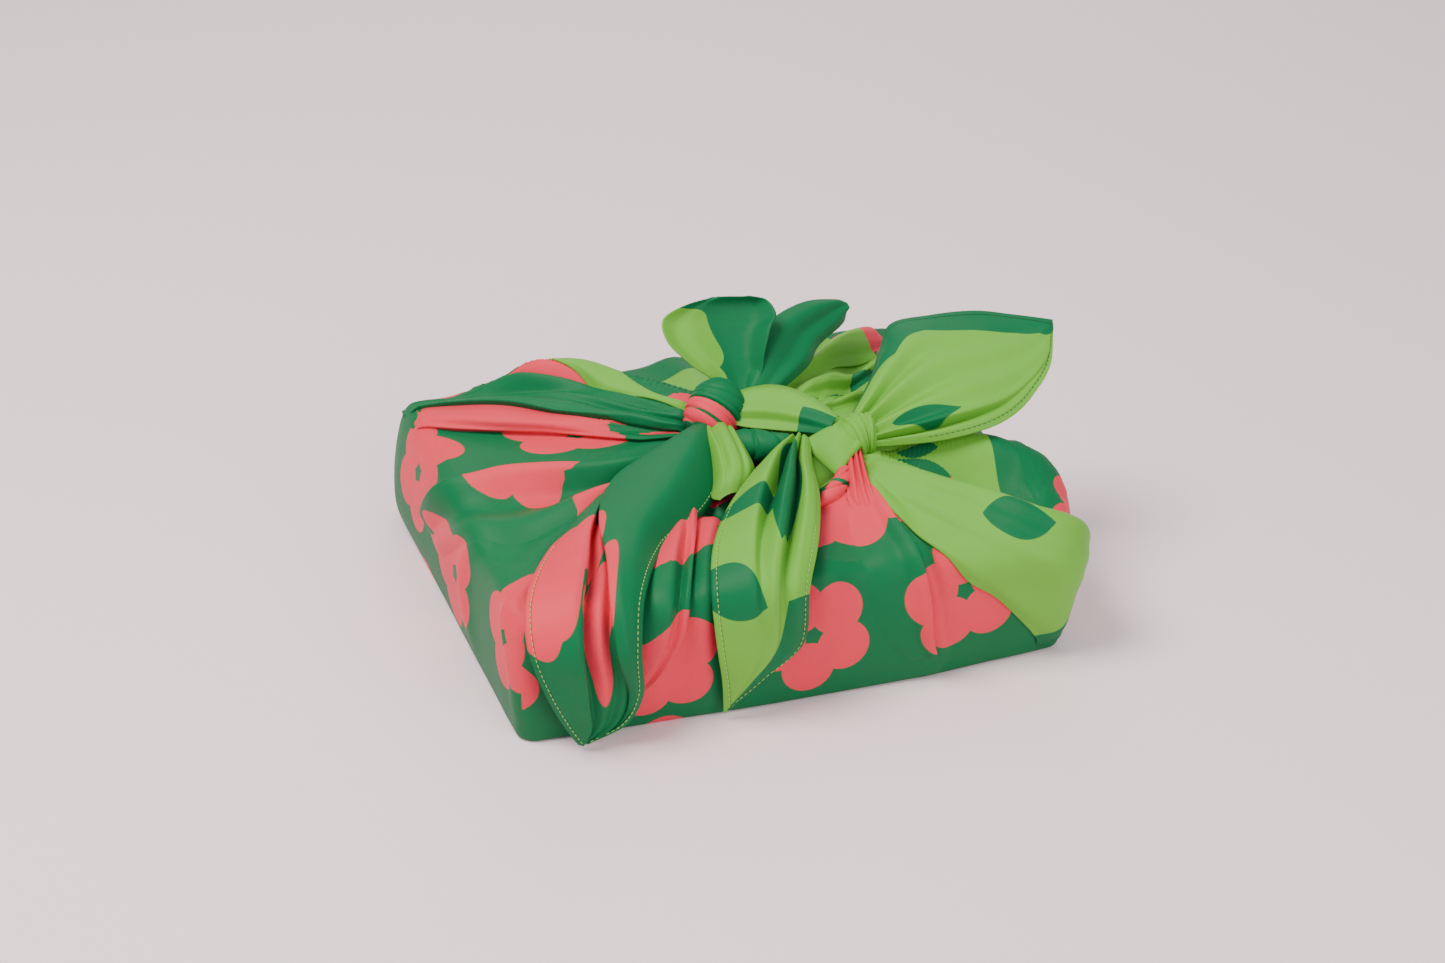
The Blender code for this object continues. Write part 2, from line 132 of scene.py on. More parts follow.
# The carton: a shallow box of plain brown card, cut, creased and glued, with
# the cloth drawn tight round it. It keeps the solid's own shape.
card, tree, shader = finish_material("brown card", 0.85)
place = add_node(tree, "ShaderNodeTexCoord").outputs["Object"]
fibre = add_node(tree, "ShaderNodeTexNoise", {"Vector": place, "Scale": 900.0, "Detail": 3.0})
flute = add_node(tree, "ShaderNodeTexWave", {"Vector": place, "Scale": 45.0, "Distortion": 0.4})
shade = add_node(tree, "ShaderNodeValToRGB", {"Fac": fibre.outputs["Fac"]})
shade.color_ramp.elements[0].color = (0.36, 0.25, 0.15, 1)
shade.color_ramp.elements[1].color = (0.52, 0.39, 0.25, 1)
ridges = add_node(tree, "ShaderNodeBump", {"Height": flute.outputs["Fac"], "Strength": 0.2, "Distance": 0.0004})
tree.links.new(shade.outputs["Color"], shader.inputs["Base Color"])
tree.links.new(ridges.outputs["Normal"], shader.inputs["Normal"])
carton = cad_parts["carton"]
carton.data.materials.clear()
carton.data.materials.append(card)

# The cloth round the carton: the middle of one 90 cm square of printed cotton
# sateen. It lies under the carton, is drawn up its four walls, folded flat at
# the corners and gathered in over the top towards the two knots.
# Sizes are millimetres from here on.
WRAP_WIDTH = 330.0
WRAP_DEPTH = 270.0
WRAP_HEIGHT = 78.0
WRAP_ROUND = 2 * (WRAP_WIDTH + WRAP_DEPTH)
CORNER_RADIUS = 9.0
GATHER = [
    # around, x, y, z
    (0, -30, -26, 86),
    (75, -26, -48, 83),
    (140, 2, -60, 84),
    (200, 36, -70, 88),
    (262, 64, -70, 91),
    (330, 74, -58, 95),
    (420, 80, -44, 99),
    (520, 76, -26, 101),
    (600, 62, -4, 103),
    (690, 44, 14, 103),
    (790, 16, 30, 102),
    (880, -6, 33, 101),
    (930, -15, 26, 101),
    (1000, -21, 14, 98),
    (1100, -27, -4, 92),
]
WALL_BULGE = [
    # around, out at the floor, out at the fullest, height
    (0, 1.0, 2.5, 24),
    (70, 4.0, 5.5, 20),
    (150, 7.0, 8.0, 16),
    (240, 7.5, 9.0, 16),
    (290, 4.0, 7.0, 30),
    (335, 1.0, 7.0, 60),
    (400, 2.0, 11.0, 60),
    (500, 2.0, 8.0, 50),
    (600, 0.5, 2.0, 40),
    (765, 3.0, 5.0, 38),
    (918, 1.0, 5.0, 20),
    (950, 6.0, 11.0, 20),
    (1070, 4.0, 6.5, 26),
    (1170, 2.0, 4.5, 28),
]
WALL_RINGS = [
    # height, inset
    (0.0, 3.0),
    (0.8, 0.9),
    (3.5, 0.0),
    (12.0, 0.0),
    (26.0, 0.0),
    (42.0, 0.0),
    (58.0, 0.0),
    (69.0, 0.4),
    (75.4, 2.6),
    (78.0, 8.0),
]
TOP_RISE = 1.7
SLIT_MIDDLE = (22, -16)
SLIT_RINGS = [
    # share of the way to the middle, drop
    (0.0, 0.0),
    (0.30, 4.0),
    (0.68, 12.0),
    (0.98, 18.0),
]
FOLDS = [
    # name, path of x, y, z and height, left, right, lean
    ("rear pleat",
     [(-124, 130, 78, 2), (-106, 115, 79, 15), (-84, 98, 80, 29), (-48, 70, 84, 21), (-10, 36, 97, 5)],
     10, 9, 0),
    ("rear pleat, second",
     [(-160, 122, 78, 1), (-120, 95, 79, 9), (-80, 70, 80, 13), (-48, 50, 84, 9), (-16, 28, 97, 4)],
     9, 9, 2),
    ("rear pleat, third",
     [(-163, 112, 78, 1), (-118, 80, 79, 7), (-70, 48, 81, 9), (-20, 18, 97, 4)],
     8, 5, 3),
    ("back strip",
     [(-74, 122, 78, 2), (-58, 101, 79, 21), (-34, 74, 83, 12), (-2, 38, 98, 3)],
     10, 10, 0),
    ("left fold edge",
     [(-168, 46, 52, 2), (-158, 24, 74, 5), (-128, 17, 79, 7), (-98, 8, 80, 7), (-60, -6, 83, 5)],
     4, 11, -2),
    ("left fold front",
     [(-163, -100, 76, 2), (-128, -68, 80, 8), (-90, -46, 81, 10), (-48, -34, 84, 4)],
     14, 14, 0),
    ("left crease, low",
     [(-171, -20, 60, 0), (-166, -42, 72, -1.5), (-156, -66, 79, -1.5), (-142, -80, 80, 0)],
     5, 5, 0),
    ("corner ridge",
     [(-168, -132, 10, 0), (-166, -128, 40, 3), (-160, -112, 70, 5), (-136, -92, 80, 5), (-104, -70, 80, 2)],
     7, 9, 0),
    ("left wall fold",
     [(-168, -60, 6, 0), (-172, -40, 30, 3), (-171, -30, 56, 4), (-162, -40, 78, 3), (-130, -44, 80, 0)],
     10, 10, 0),
    ("front fold, left",
     [(-90, -141, 20, 1), (-88, -136, 70, 6), (-70, -100, 79, 9), (-38, -56, 82, 4)],
     9, 8, 0),
    ("front fold, middle",
     [(-60, -141, 16, 1), (-58, -136, 72, 7), (-44, -98, 79, 10), (-22, -56, 82, 4)],
     8, 8, 0),
    ("recess under the left loop",
     [(-34, -50, 86, -3), (-25, -61, 87, -9), (-16, -72, 86, -8), (-8, -84, 84, -3)],
     9, 9, 0),
    ("front gather, left",
     [(8, -140, 40, 0), (14, -132, 76, 5), (26, -100, 80, 7), (44, -76, 86, 3)],
     14, 12, 0),
    ("front gather, right",
     [(84, -142, 14, 2), (80, -140, 52, 5), (73, -126, 77, 8), (66, -90, 82, 8), (63, -72, 90, 3)],
     18, 5, 0),
    ("right band crest",
     [(172, -128, 52, 2), (164, -136, 66, 9), (150, -134, 77, 14), (122, -116, 79, 16),
      (96, -90, 82, 12), (76, -60, 95, 3)],
     16, 16, 0),
    ("right tent crest",
     [(176, -104, 50, 6), (174, -90, 64, 12), (160, -72, 78, 23), (138, -58, 79, 26),
      (108, -50, 85, 20), (82, -44, 98, 3)],
     24, 22, 0),
    ("valley behind the right band",
     [(82, -44, 97, -5), (98, -57, 93, -16), (118, -74, 88, -20), (142, -91, 84, -12), (162, -102, 78, 0)],
     13, 10, 0),
    ("right tent second",
     [(166, -104, 70, 2), (146, -90, 79, 4), (112, -72, 84, 3), (84, -56, 96, 1)],
     7, 7, 0),
    ("back right pleat",
     [(158, 128, 78, 2), (122, 98, 79, 16), (92, 62, 82, 17), (58, 8, 100, 4)],
     10, 10, 0),
    ("back right pleat, outer",
     [(146, 132, 78, 1), (104, 104, 79, 15), (72, 62, 82, 16), (48, 16, 100, 4)],
     10, 10, 0),
    ("back right pleat, inner",
     [(162, 110, 78, 2), (126, 66, 80, 11), (96, 26, 84, 11), (70, -8, 100, 4)],
     9, 9, 0),
    ("back right pleat, low",
     [(166, 80, 76, 2), (132, 36, 80, 9), (98, 2, 86, 9), (76, -20, 100, 3)],
     9, 9, 0),
    ("back pleat",
     [(6, 138, 60, 1), (10, 122, 78, 6), (14, 80, 80, 7), (14, 40, 98, 3)],
     14, 14, 0),
]
# How far up the cloth, measured from the floor, its light green part starts.
LIGHT_FROM = [
    # around, length
    (0, 400),
    (296, 400),
    (314, 104),
    (420, 112),
    (520, 104),
    (600, 120),
    (700, 104),
    (780, 116),
    (820, 150),
    (850, 400),
]
# Where parts of the print lie over the gathers beside the right knot. The dark one is dark green laid along the
# valley behind the right band: partly the print there, partly painted shade for that valley.
TOP_PRINT_AND_SHADE = [
    # kind, x, y, half length, half width, turn
    ("pink", 40, -94, 20, 19, 0),
    ("pink", 58, -98, 18, 12, 0),
    ("pink", 24, -88, 12, 12, 0),
    # partly print, partly painted shade along the valley behind the right band
    ("dark", 103, -63, 20, 8, -34),
]
WRAP_COLUMNS = 420
WALL_ROWS = 72
TOP_ROWS = 104
SLIT_ROWS = 16
GATHER_CREASES = 2.0      # height of the small pleats at the gathered rim
GATHER_SEED = 11
GATHER_COUNTS = (19, 27, 38, 52)
PATH_STEPS = 60           # along each fold's path
FOLD_REACH = 3            # widths from its path at which a fold has died away
HEIGHT_COUNTS = 0.3       # share of a point's height over the path in its distance
FAR = 100.0               # well away from any edge of the print or any hem


def smooth_path(points, share):
    """Places on a smooth curve through points, at shares of its length from 0 to 1."""
    points = np.array(points, float)
    padded = np.vstack([2 * points[0] - points[1], points, 2 * points[-1] - points[-2]])
    spot = np.clip(np.asarray(share, float), 0, 1) * (len(points) - 1)
    first = np.minimum(spot.astype(int), len(points) - 2)
    rest = (spot - first)[:, None]
    a, b, c, d = (padded[first + shift] for shift in range(4))
    return 0.5 * (2 * b + (c - a) * rest + (2 * a - 5 * b + 4 * c - d) * rest ** 2
                  + (3 * b - a - 3 * c + d) * rest ** 3)


def round_the_loop(table, around):
    """Reads a table whose first column goes once round the wrap."""
    table = np.array(table, float)
    before, after = table[-1].copy(), table[0].copy()
    before[0] -= WRAP_ROUND
    after[0] += WRAP_ROUND
    table = np.vstack([before, table, after])
    places = table[:, 0]
    index = np.clip(np.searchsorted(places, around, side="right") - 1, 0, len(places) - 2)
    share = (around - places[index]) / (places[index + 1] - places[index])
    share = (share * share * (3 - 2 * share) + share) / 2
    return table[index, 1:] * (1 - share)[:, None] + table[index + 1, 1:] * share[:, None]


def wall_places(around, inset):
    """Places on the outline of the walls, drawn in by inset, with round corners."""
    half = np.array([WRAP_WIDTH, WRAP_DEPTH]) / 2
    ends = np.array([0, WRAP_WIDTH, WRAP_WIDTH + WRAP_DEPTH, 2 * WRAP_WIDTH + WRAP_DEPTH, WRAP_ROUND])
    across = np.interp(around, ends, [-half[0], half[0], half[0], -half[0], -half[0]])
    along = np.interp(around, ends, [-half[1], -half[1], half[1], half[1], -half[1]])
    sharp = np.column_stack([across, along])
    core = half - CORNER_RADIUS
    inner = np.clip(sharp, -core, core)
    outward = sharp - inner
    outward /= np.linalg.norm(outward, axis=1)[:, None]
    return inner + outward * (CORNER_RADIUS - inset), outward


def wrap_grid(around):
    """Rings of points up the walls, over the top and down into the slit."""
    foot, bulge, full_height = round_the_loop(WALL_BULGE, around).T
    gather = round_the_loop(GATHER, around)
    rings = []
    for height, inset in smooth_path(WALL_RINGS, np.linspace(0, 1, WALL_ROWS)):
        below = np.clip(height / full_height, 0, 1)
        above = np.clip((height - full_height) / (WRAP_HEIGHT - full_height), 0, 1)
        out = foot + (bulge - foot) * np.sin(below * math.pi / 2) - bulge * above ** 2
        plan, outward = wall_places(around, inset)
        rings.append(np.column_stack([plan + outward * out[:, None], np.full(len(around), max(height, 0))]))
    edge = rings[-1]
    for share in np.linspace(0, 1, TOP_ROWS)[1:]:
        ring = edge + (gather - edge) * share
        ring[:, 2] = edge[:, 2] + (gather[:, 2] - edge[:, 2]) * share ** TOP_RISE
        rings.append(ring)
    for share, drop in smooth_path(SLIT_RINGS, np.linspace(0, 1, SLIT_ROWS))[1:]:
        ring = gather.copy()
        ring[:, :2] += (np.array(SLIT_MIDDLE) - gather[:, :2]) * share
        ring[:, 2] -= drop
        rings.append(ring)
    return np.array(rings)


def grid_normals(grid, closed):
    """Outward directions at the points of a grid whose columns may close in a loop."""
    across = np.roll(grid, -1, axis=1) - np.roll(grid, 1, axis=1) if closed else np.gradient(grid, axis=1)
    normals = np.cross(across, np.gradient(grid, axis=0))
    return normals / np.maximum(np.linalg.norm(normals, axis=2), 1e-9)[..., None]


def raise_folds(grid, normals, folds):
    """Adds each pleat and crease to the points near its path."""
    points = grid.reshape(-1, 3)
    moved = points.copy()
    for _name, path, left, right, lean in folds:
        table = smooth_path(path, np.linspace(0, 1, PATH_STEPS))
        line, heights = table[:, :3], table[:, 3]
        along = np.gradient(line, axis=0)
        along /= np.linalg.norm(along, axis=1)[:, None]
        reach = FOLD_REACH * max(left, right)
        near = np.all((points > line.min(0) - reach) & (points < line.max(0) + reach), axis=1)
        facing = normals.reshape(-1, 3)[near]
        away = points[near][:, None] - line[None]
        above = (away * facing[:, None]).sum(2)
        flat = away - above[..., None] * facing[:, None]
        distance = np.linalg.norm(flat, axis=2) + HEIGHT_COUNTS * np.abs(above)
        nearest = distance.argmin(axis=1)
        rows = np.arange(len(facing))
        right_hand = np.cross(along[nearest], facing)
        side = (flat[rows, nearest] * right_hand).sum(1)
        shape = np.exp(-(distance[rows, nearest] / np.where(side > 0, right, left)) ** 2)
        moved[near] += facing * (heights[nearest] * shape)[:, None] + right_hand * (lean * shape)[:, None]
    return moved.reshape(grid.shape)


def gathered(around, share, seed):
    """Small pleats that run into the knots, deeper towards the gathered rim."""
    dice = np.random.default_rng(seed)
    turn = 2 * math.pi * around / WRAP_ROUND
    wander = turn + 0.10 * np.sin(3 * turn + 1) + 0.06 * np.sin(7 * turn + 2)
    pleats = np.zeros((len(share), len(around)))
    for count in GATHER_COUNTS:
        phase, start = dice.uniform(0, 2 * math.pi), dice.uniform(0.15, 0.5)
        depth = np.clip((share - start) / (1 - start), 0, 1) ** 1.4
        pleats += depth[:, None] * (np.abs(np.sin(count / 2 * wander + phase)) - 0.5)[None] * GATHER_COUNTS[0] / count
    return pleats


def cloth_mesh(name, grid, cut, light, pink, loop=0, hem=FAR):
    """A grid of cloth, whose columns close after loop millimetres if that is given.

    cut is where each point lies on the flat cloth; light and pink are how far
    it lies inside the light green and the solid pink parts of the print, and hem
    how far from a hemmed edge.
    """
    rows, columns = grid.shape[:2]
    row, column = np.meshgrid(np.arange(rows - 1), np.arange(columns if loop else columns - 1), indexing="ij")
    beside = (column + 1) % columns
    quads = np.stack([row * columns + column, row * columns + beside,
                      (row + 1) * columns + beside, (row + 1) * columns + column], -1).reshape(-1, 4)
    spots = cut.reshape(-1, 2)[quads]
    spots[(beside < column).reshape(-1), 1:3, 0] += loop
    mesh = bpy.data.meshes.new(name)
    mesh.from_pydata((grid.reshape(-1, 3) * MM).tolist(), [], quads.tolist())
    mesh.uv_layers.new(name="cut").data.foreach_set("uv", (spots * MM).astype(np.float32).ravel())
    for field, values in (("light print", light), ("pink print", pink), ("from hem", hem)):
        values = np.broadcast_to(values, grid.shape[:2]).ravel() * MM
        mesh.attributes.new(field, "FLOAT", "POINT").data.foreach_set("value", values.astype(np.float32))
    mesh.shade_smooth()
    made = bpy.data.objects.new(name, mesh)
    bpy.context.scene.collection.objects.link(made)
    return made


# The print's sizes, in metres, and its colours.
BLOSSOM_SPACING = 0.092
BLOSSOM_PETAL_PLACE = 0.0205
BLOSSOM_PETAL_RADIUS = 0.0158
LEAF_SPACING = 0.070
LEAF_LENGTH = 0.017
LEAF_WIDTH = 0.0085
DARK_GREEN = (0.004, 0.127, 0.041, 1)
PINK = (0.70, 0.038, 0.066, 1)
LIGHT_GREEN = (0.130, 0.385, 0.036, 1)
THREAD_SPACING = 0.0006
HEM_WIDTH = 0.0040
HEM_SLOPE = 0.0004
# width of the painted shade line along the hem's inner edge
HEM_STEP_SHADE_WIDTH = 0.0006
PRINT_EDGE = 0.00015


def printed_cloth(name, slip, blossoms=0.95, leaves=0.6):
    """Cotton sateen with plum blossoms on dark green, and leaves where its ground is light green.

    slip moves the print on the piece; blossoms and leaves are the shares of their places that are filled.
    """
    made, tree, shader = finish_material(name, 0.52, sheen=0.01, specular=0.14)
    cut = add_node(tree, "ShaderNodeUVMap", uv_map="cut").outputs["UV"]
    moved = add_node(tree, "ShaderNodeMapping", {"Vector": cut, "Location": (*slip, 0)}).outputs["Vector"]

    def motif(spacing, share):
        """Where a point lies from the middle of the nearest motif, turned at random, and if one is there."""
        cell = add_node(tree, "ShaderNodeTexVoronoi", {"Vector": moved, "Scale": 1 / spacing, "Randomness": 0.30},
                        voronoi_dimensions="2D")
        away = add_node(tree, "ShaderNodeVectorMath", {0: moved, 1: cell.outputs["Position"]},
                        operation="SUBTRACT").outputs[0]
        chance = add_node(tree, "ShaderNodeSeparateColor", {"Color": cell.outputs["Color"]})
        angle = calc(tree, "MULTIPLY", chance.outputs["Red"], 2 * math.pi)
        turned = add_node(tree, "ShaderNodeVectorRotate", {"Vector": away, "Angle": angle}, rotation_type="Z_AXIS")
        parts = add_node(tree, "ShaderNodeSeparateXYZ", {"Vector": turned.outputs[0]})
        there = calc(tree, "LESS_THAN", chance.outputs["Green"], share)
        return parts.outputs["X"], parts.outputs["Y"], there

    def edged(value):
        """One inside an outline and nought outside, from the distance inside it."""
        ramp = {"Value": value, "From Min": -PRINT_EDGE, "From Max": PRINT_EDGE}
        return add_node(tree, "ShaderNodeMapRange", ramp).outputs["Result"]

    x, y, there = motif(BLOSSOM_SPACING, blossoms)
    turn = calc(tree, "DIVIDE", calc(tree, "ARCTAN2", y, x), 2 * math.pi / 5)
    petal = calc(tree, "MULTIPLY", calc(tree, "SUBTRACT", calc(tree, "FRACT", turn), 0.5), 2 * math.pi / 5)
    reach = calc(tree, "SQRT", calc(tree, "ADD", calc(tree, "MULTIPLY", x, x), calc(tree, "MULTIPLY", y, y)))
    crossed = calc(tree, "MULTIPLY", calc(tree, "MULTIPLY", reach, calc(tree, "COSINE", petal)),
                   -2 * BLOSSOM_PETAL_PLACE)
    square = calc(tree, "ADD", calc(tree, "MULTIPLY", reach, reach), crossed)
    from_petal = calc(tree, "SQRT", calc(tree, "ADD", square, BLOSSOM_PETAL_PLACE ** 2))
    blossom = calc(tree, "MULTIPLY", edged(calc(tree, "SUBTRACT", BLOSSOM_PETAL_RADIUS, from_petal)), there)

    x, y, there = motif(LEAF_SPACING, leaves)
    bow = calc(tree, "SUBTRACT", 1.0, calc(tree, "POWER", calc(tree, "DIVIDE", x, LEAF_LENGTH), 2.0))
    inside = calc(tree, "SUBTRACT", calc(tree, "MULTIPLY", bow, LEAF_WIDTH), calc(tree, "ABSOLUTE", y))
    leaf = calc(tree, "MULTIPLY", edged(inside), there)

    def mixed(share, below, above):
        return add_node(tree, "ShaderNodeMix", {0: share, 6: below, 7: above}, data_type="RGBA").outputs[2]

    light = add_node(tree, "ShaderNodeAttribute", attribute_name="light print").outputs["Fac"]
    pink = add_node(tree, "ShaderNodeAttribute", attribute_name="pink print").outputs["Fac"]
    printed = mixed(edged(light), mixed(blossom, DARK_GREEN, PINK), mixed(leaf, LIGHT_GREEN, DARK_GREEN))
    colour = mixed(edged(pink), printed, PINK)
    place = add_node(tree, "ShaderNodeTexCoord").outputs["Object"]
    cloudy = add_node(tree, "ShaderNodeTexNoise", {"Vector": place, "Scale": 28.0, "Detail": 4.0})
    slub = add_node(tree, "ShaderNodeTexNoise", {"Vector": cut, "Scale": 900.0, "Detail": 2.0})
    tone = add_node(tree, "ShaderNodeMapRange", {"Value": cloudy.outputs["Fac"], "To Min": 0.90, "To Max": 1.10})
    grain = add_node(tree, "ShaderNodeMapRange", {"Value": slub.outputs["Fac"], "To Min": 0.93, "To Max": 1.07})
    hem = add_node(tree, "ShaderNodeAttribute", attribute_name="from hem").outputs["Fac"]
    # painted shade: a thin darker line along the hem's inner edge, where the turned-under hem makes a step
    from_hem_step = calc(tree, "ABSOLUTE", calc(tree, "SUBTRACT", hem, HEM_WIDTH))
    seam = add_node(tree, "ShaderNodeMapRange", {"Value": from_hem_step, "From Max": HEM_STEP_SHADE_WIDTH, "To Min": 0.72})
    value = calc(tree, "MULTIPLY", calc(tree, "MULTIPLY", tone.outputs["Result"], grain.outputs["Result"]),
                 seam.outputs["Result"])
    varied = add_node(tree, "ShaderNodeHueSaturation", {"Color": colour, "Value": value})
    tree.links.new(varied.outputs["Color"], shader.inputs["Base Color"])

    flat = add_node(tree, "ShaderNodeSeparateXYZ", {"Vector": cut})
    warp = calc(tree, "SINE", calc(tree, "MULTIPLY", flat.outputs["X"], 2 * math.pi / THREAD_SPACING))
    weft = calc(tree, "SINE", calc(tree, "MULTIPLY", flat.outputs["Y"], 2 * math.pi / THREAD_SPACING))
    weave = calc(tree, "MULTIPLY", warp, weft)
    height = calc(tree, "ADD", calc(tree, "MULTIPLY", weave, 0.3), slub.outputs["Fac"])
    bump = add_node(tree, "ShaderNodeBump", {"Height": height, "Strength": 0.35, "Distance": 0.00015})
    step = {"Value": hem, "From Min": HEM_WIDTH - HEM_SLOPE, "From Max": HEM_WIDTH + HEM_SLOPE,
            "To Min": 1.0, "To Max": 0.0}
    turned_under = add_node(tree, "ShaderNodeMapRange", step, interpolation_type="SMOOTHSTEP").outputs["Result"]
    edge = add_node(tree, "ShaderNodeBump", {"Height": turned_under, "Strength": 1.0, "Distance": 0.0007,
                                            "Normal": bump.outputs["Normal"]})
    tree.links.new(edge.outputs["Normal"], shader.inputs["Normal"])
    return made


def lay_cloth(piece, finish):
    """Gives a piece of the wrap its finish, hides the model's own cloth and hangs the piece on the root body."""
    piece.data.materials.append(finish)
    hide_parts("cloth")
    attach(piece, "root")


around = np.linspace(0, WRAP_ROUND, WRAP_COLUMNS, endpoint=False)
grid = wrap_grid(around)
top_share = np.concatenate([np.zeros(WALL_ROWS), np.linspace(0, 1, TOP_ROWS)[1:], np.ones(SLIT_ROWS - 1)])
body_normals = grid_normals(grid, True)
lifted = raise_folds(grid, body_normals, FOLDS)
lifted += body_normals * (GATHER_CREASES * gathered(around, top_share, GATHER_SEED))[..., None]
resting = grid[:, :, 2] < 3.0
lifted[resting] = grid[resting]
np.maximum(lifted[WALL_ROWS:, :, 2], WRAP_HEIGHT - 0.5, out=lifted[WALL_ROWS:, :, 2])
steps = np.linalg.norm(np.diff(grid, axis=0), axis=2).mean(axis=1)
length = np.concatenate([[0], np.cumsum(steps)])
cut = np.stack(np.broadcast_arrays(around[None], length[:, None]), -1)
light_from = round_the_loop(LIGHT_FROM, around)[:, 0]
top_print_and_shade = {"pink": np.full(lifted.shape[:2], -FAR), "dark": np.full(lifted.shape[:2], -FAR)}
for kind, x, y, half_length, half_width, turn in TOP_PRINT_AND_SHADE:
    over, back = lifted[WALL_ROWS:, :, 0] - x, lifted[WALL_ROWS:, :, 1] - y
    turn = math.radians(turn)
    inside = 1 - np.hypot((over * math.cos(turn) + back * math.sin(turn)) / half_length,
                          (back * math.cos(turn) - over * math.sin(turn)) / half_width)
    field = top_print_and_shade[kind][WALL_ROWS:]
    np.maximum(field, inside * min(half_length, half_width), out=field)
# the dark patch turns the light green ground dark green: partly print, partly painted shade in the valley
light = np.minimum(length[:, None] - light_from[None], -top_print_and_shade["dark"])
wrap = cloth_mesh("wrap", lifted, cut, light, top_print_and_shade["pink"], loop=WRAP_ROUND)
printed_sateen = printed_cloth("printed sateen", (0.03, 0.05))
lay_cloth(wrap, printed_sateen)
wrap_surface = BVHTree.FromPolygons(
    [Vector(point) for point in lifted.reshape(-1, 3)], [tuple(face.vertices) for face in wrap.data.polygons])

# The underside: the middle of the same cloth, one flat layer that the carton
# stands on. It runs on into the walls without a seam.
UNDERSIDE_RINGS = 12
CLOSED = 1e-9             # its columns close in a loop, and its print runs straight on
shrink = np.linspace(1, 0.02, UNDERSIDE_RINGS)[:, None, None]
underside_grid = lifted[0][None] * np.concatenate([shrink, shrink, shrink * 0], axis=2)
underside = cloth_mesh("wrap_underside", underside_grid, underside_grid[..., :2], -FAR, -FAR, loop=CLOSED)
lay_cloth(underside, printed_sateen)

# Pleats laid over the top: where the cloth is folded over itself, its folded
# edges are rolled and lie on the layer below. They are pressed flat by hand
# and held by the knots alone.
CLOTH_THICKNESS = 0.7
RAIL_COLUMNS = 9          # columns of points between two rails of a sheet
ROUNDING = 5              # how often the section's corners are smoothed
END_FADE = 0.07           # share of a pleat's length in which each end sinks in
END_SINK = 1.2            # how far the ends lie under the wrap
SLIP = (31.0, 17.0)       # how far the folded layer's print lies from the one below
CAST_REACH = 70.0         # how far off a sheet looks for what it lies on
BRIDGE_WIDENINGS = 4      # how a laid sheet spans hollows: columns widened,
BRIDGE_SMOOTHINGS = 24    # rounds of smoothing,
BRIDGE_START = 0.2        # and share of the width from its joined side
CLEARANCE = 1.0           # between the wrap and what hangs over it
CLEARANCE_MOST = 30
OUTER_SIDE = (-0.3, -0.8, 0.5)
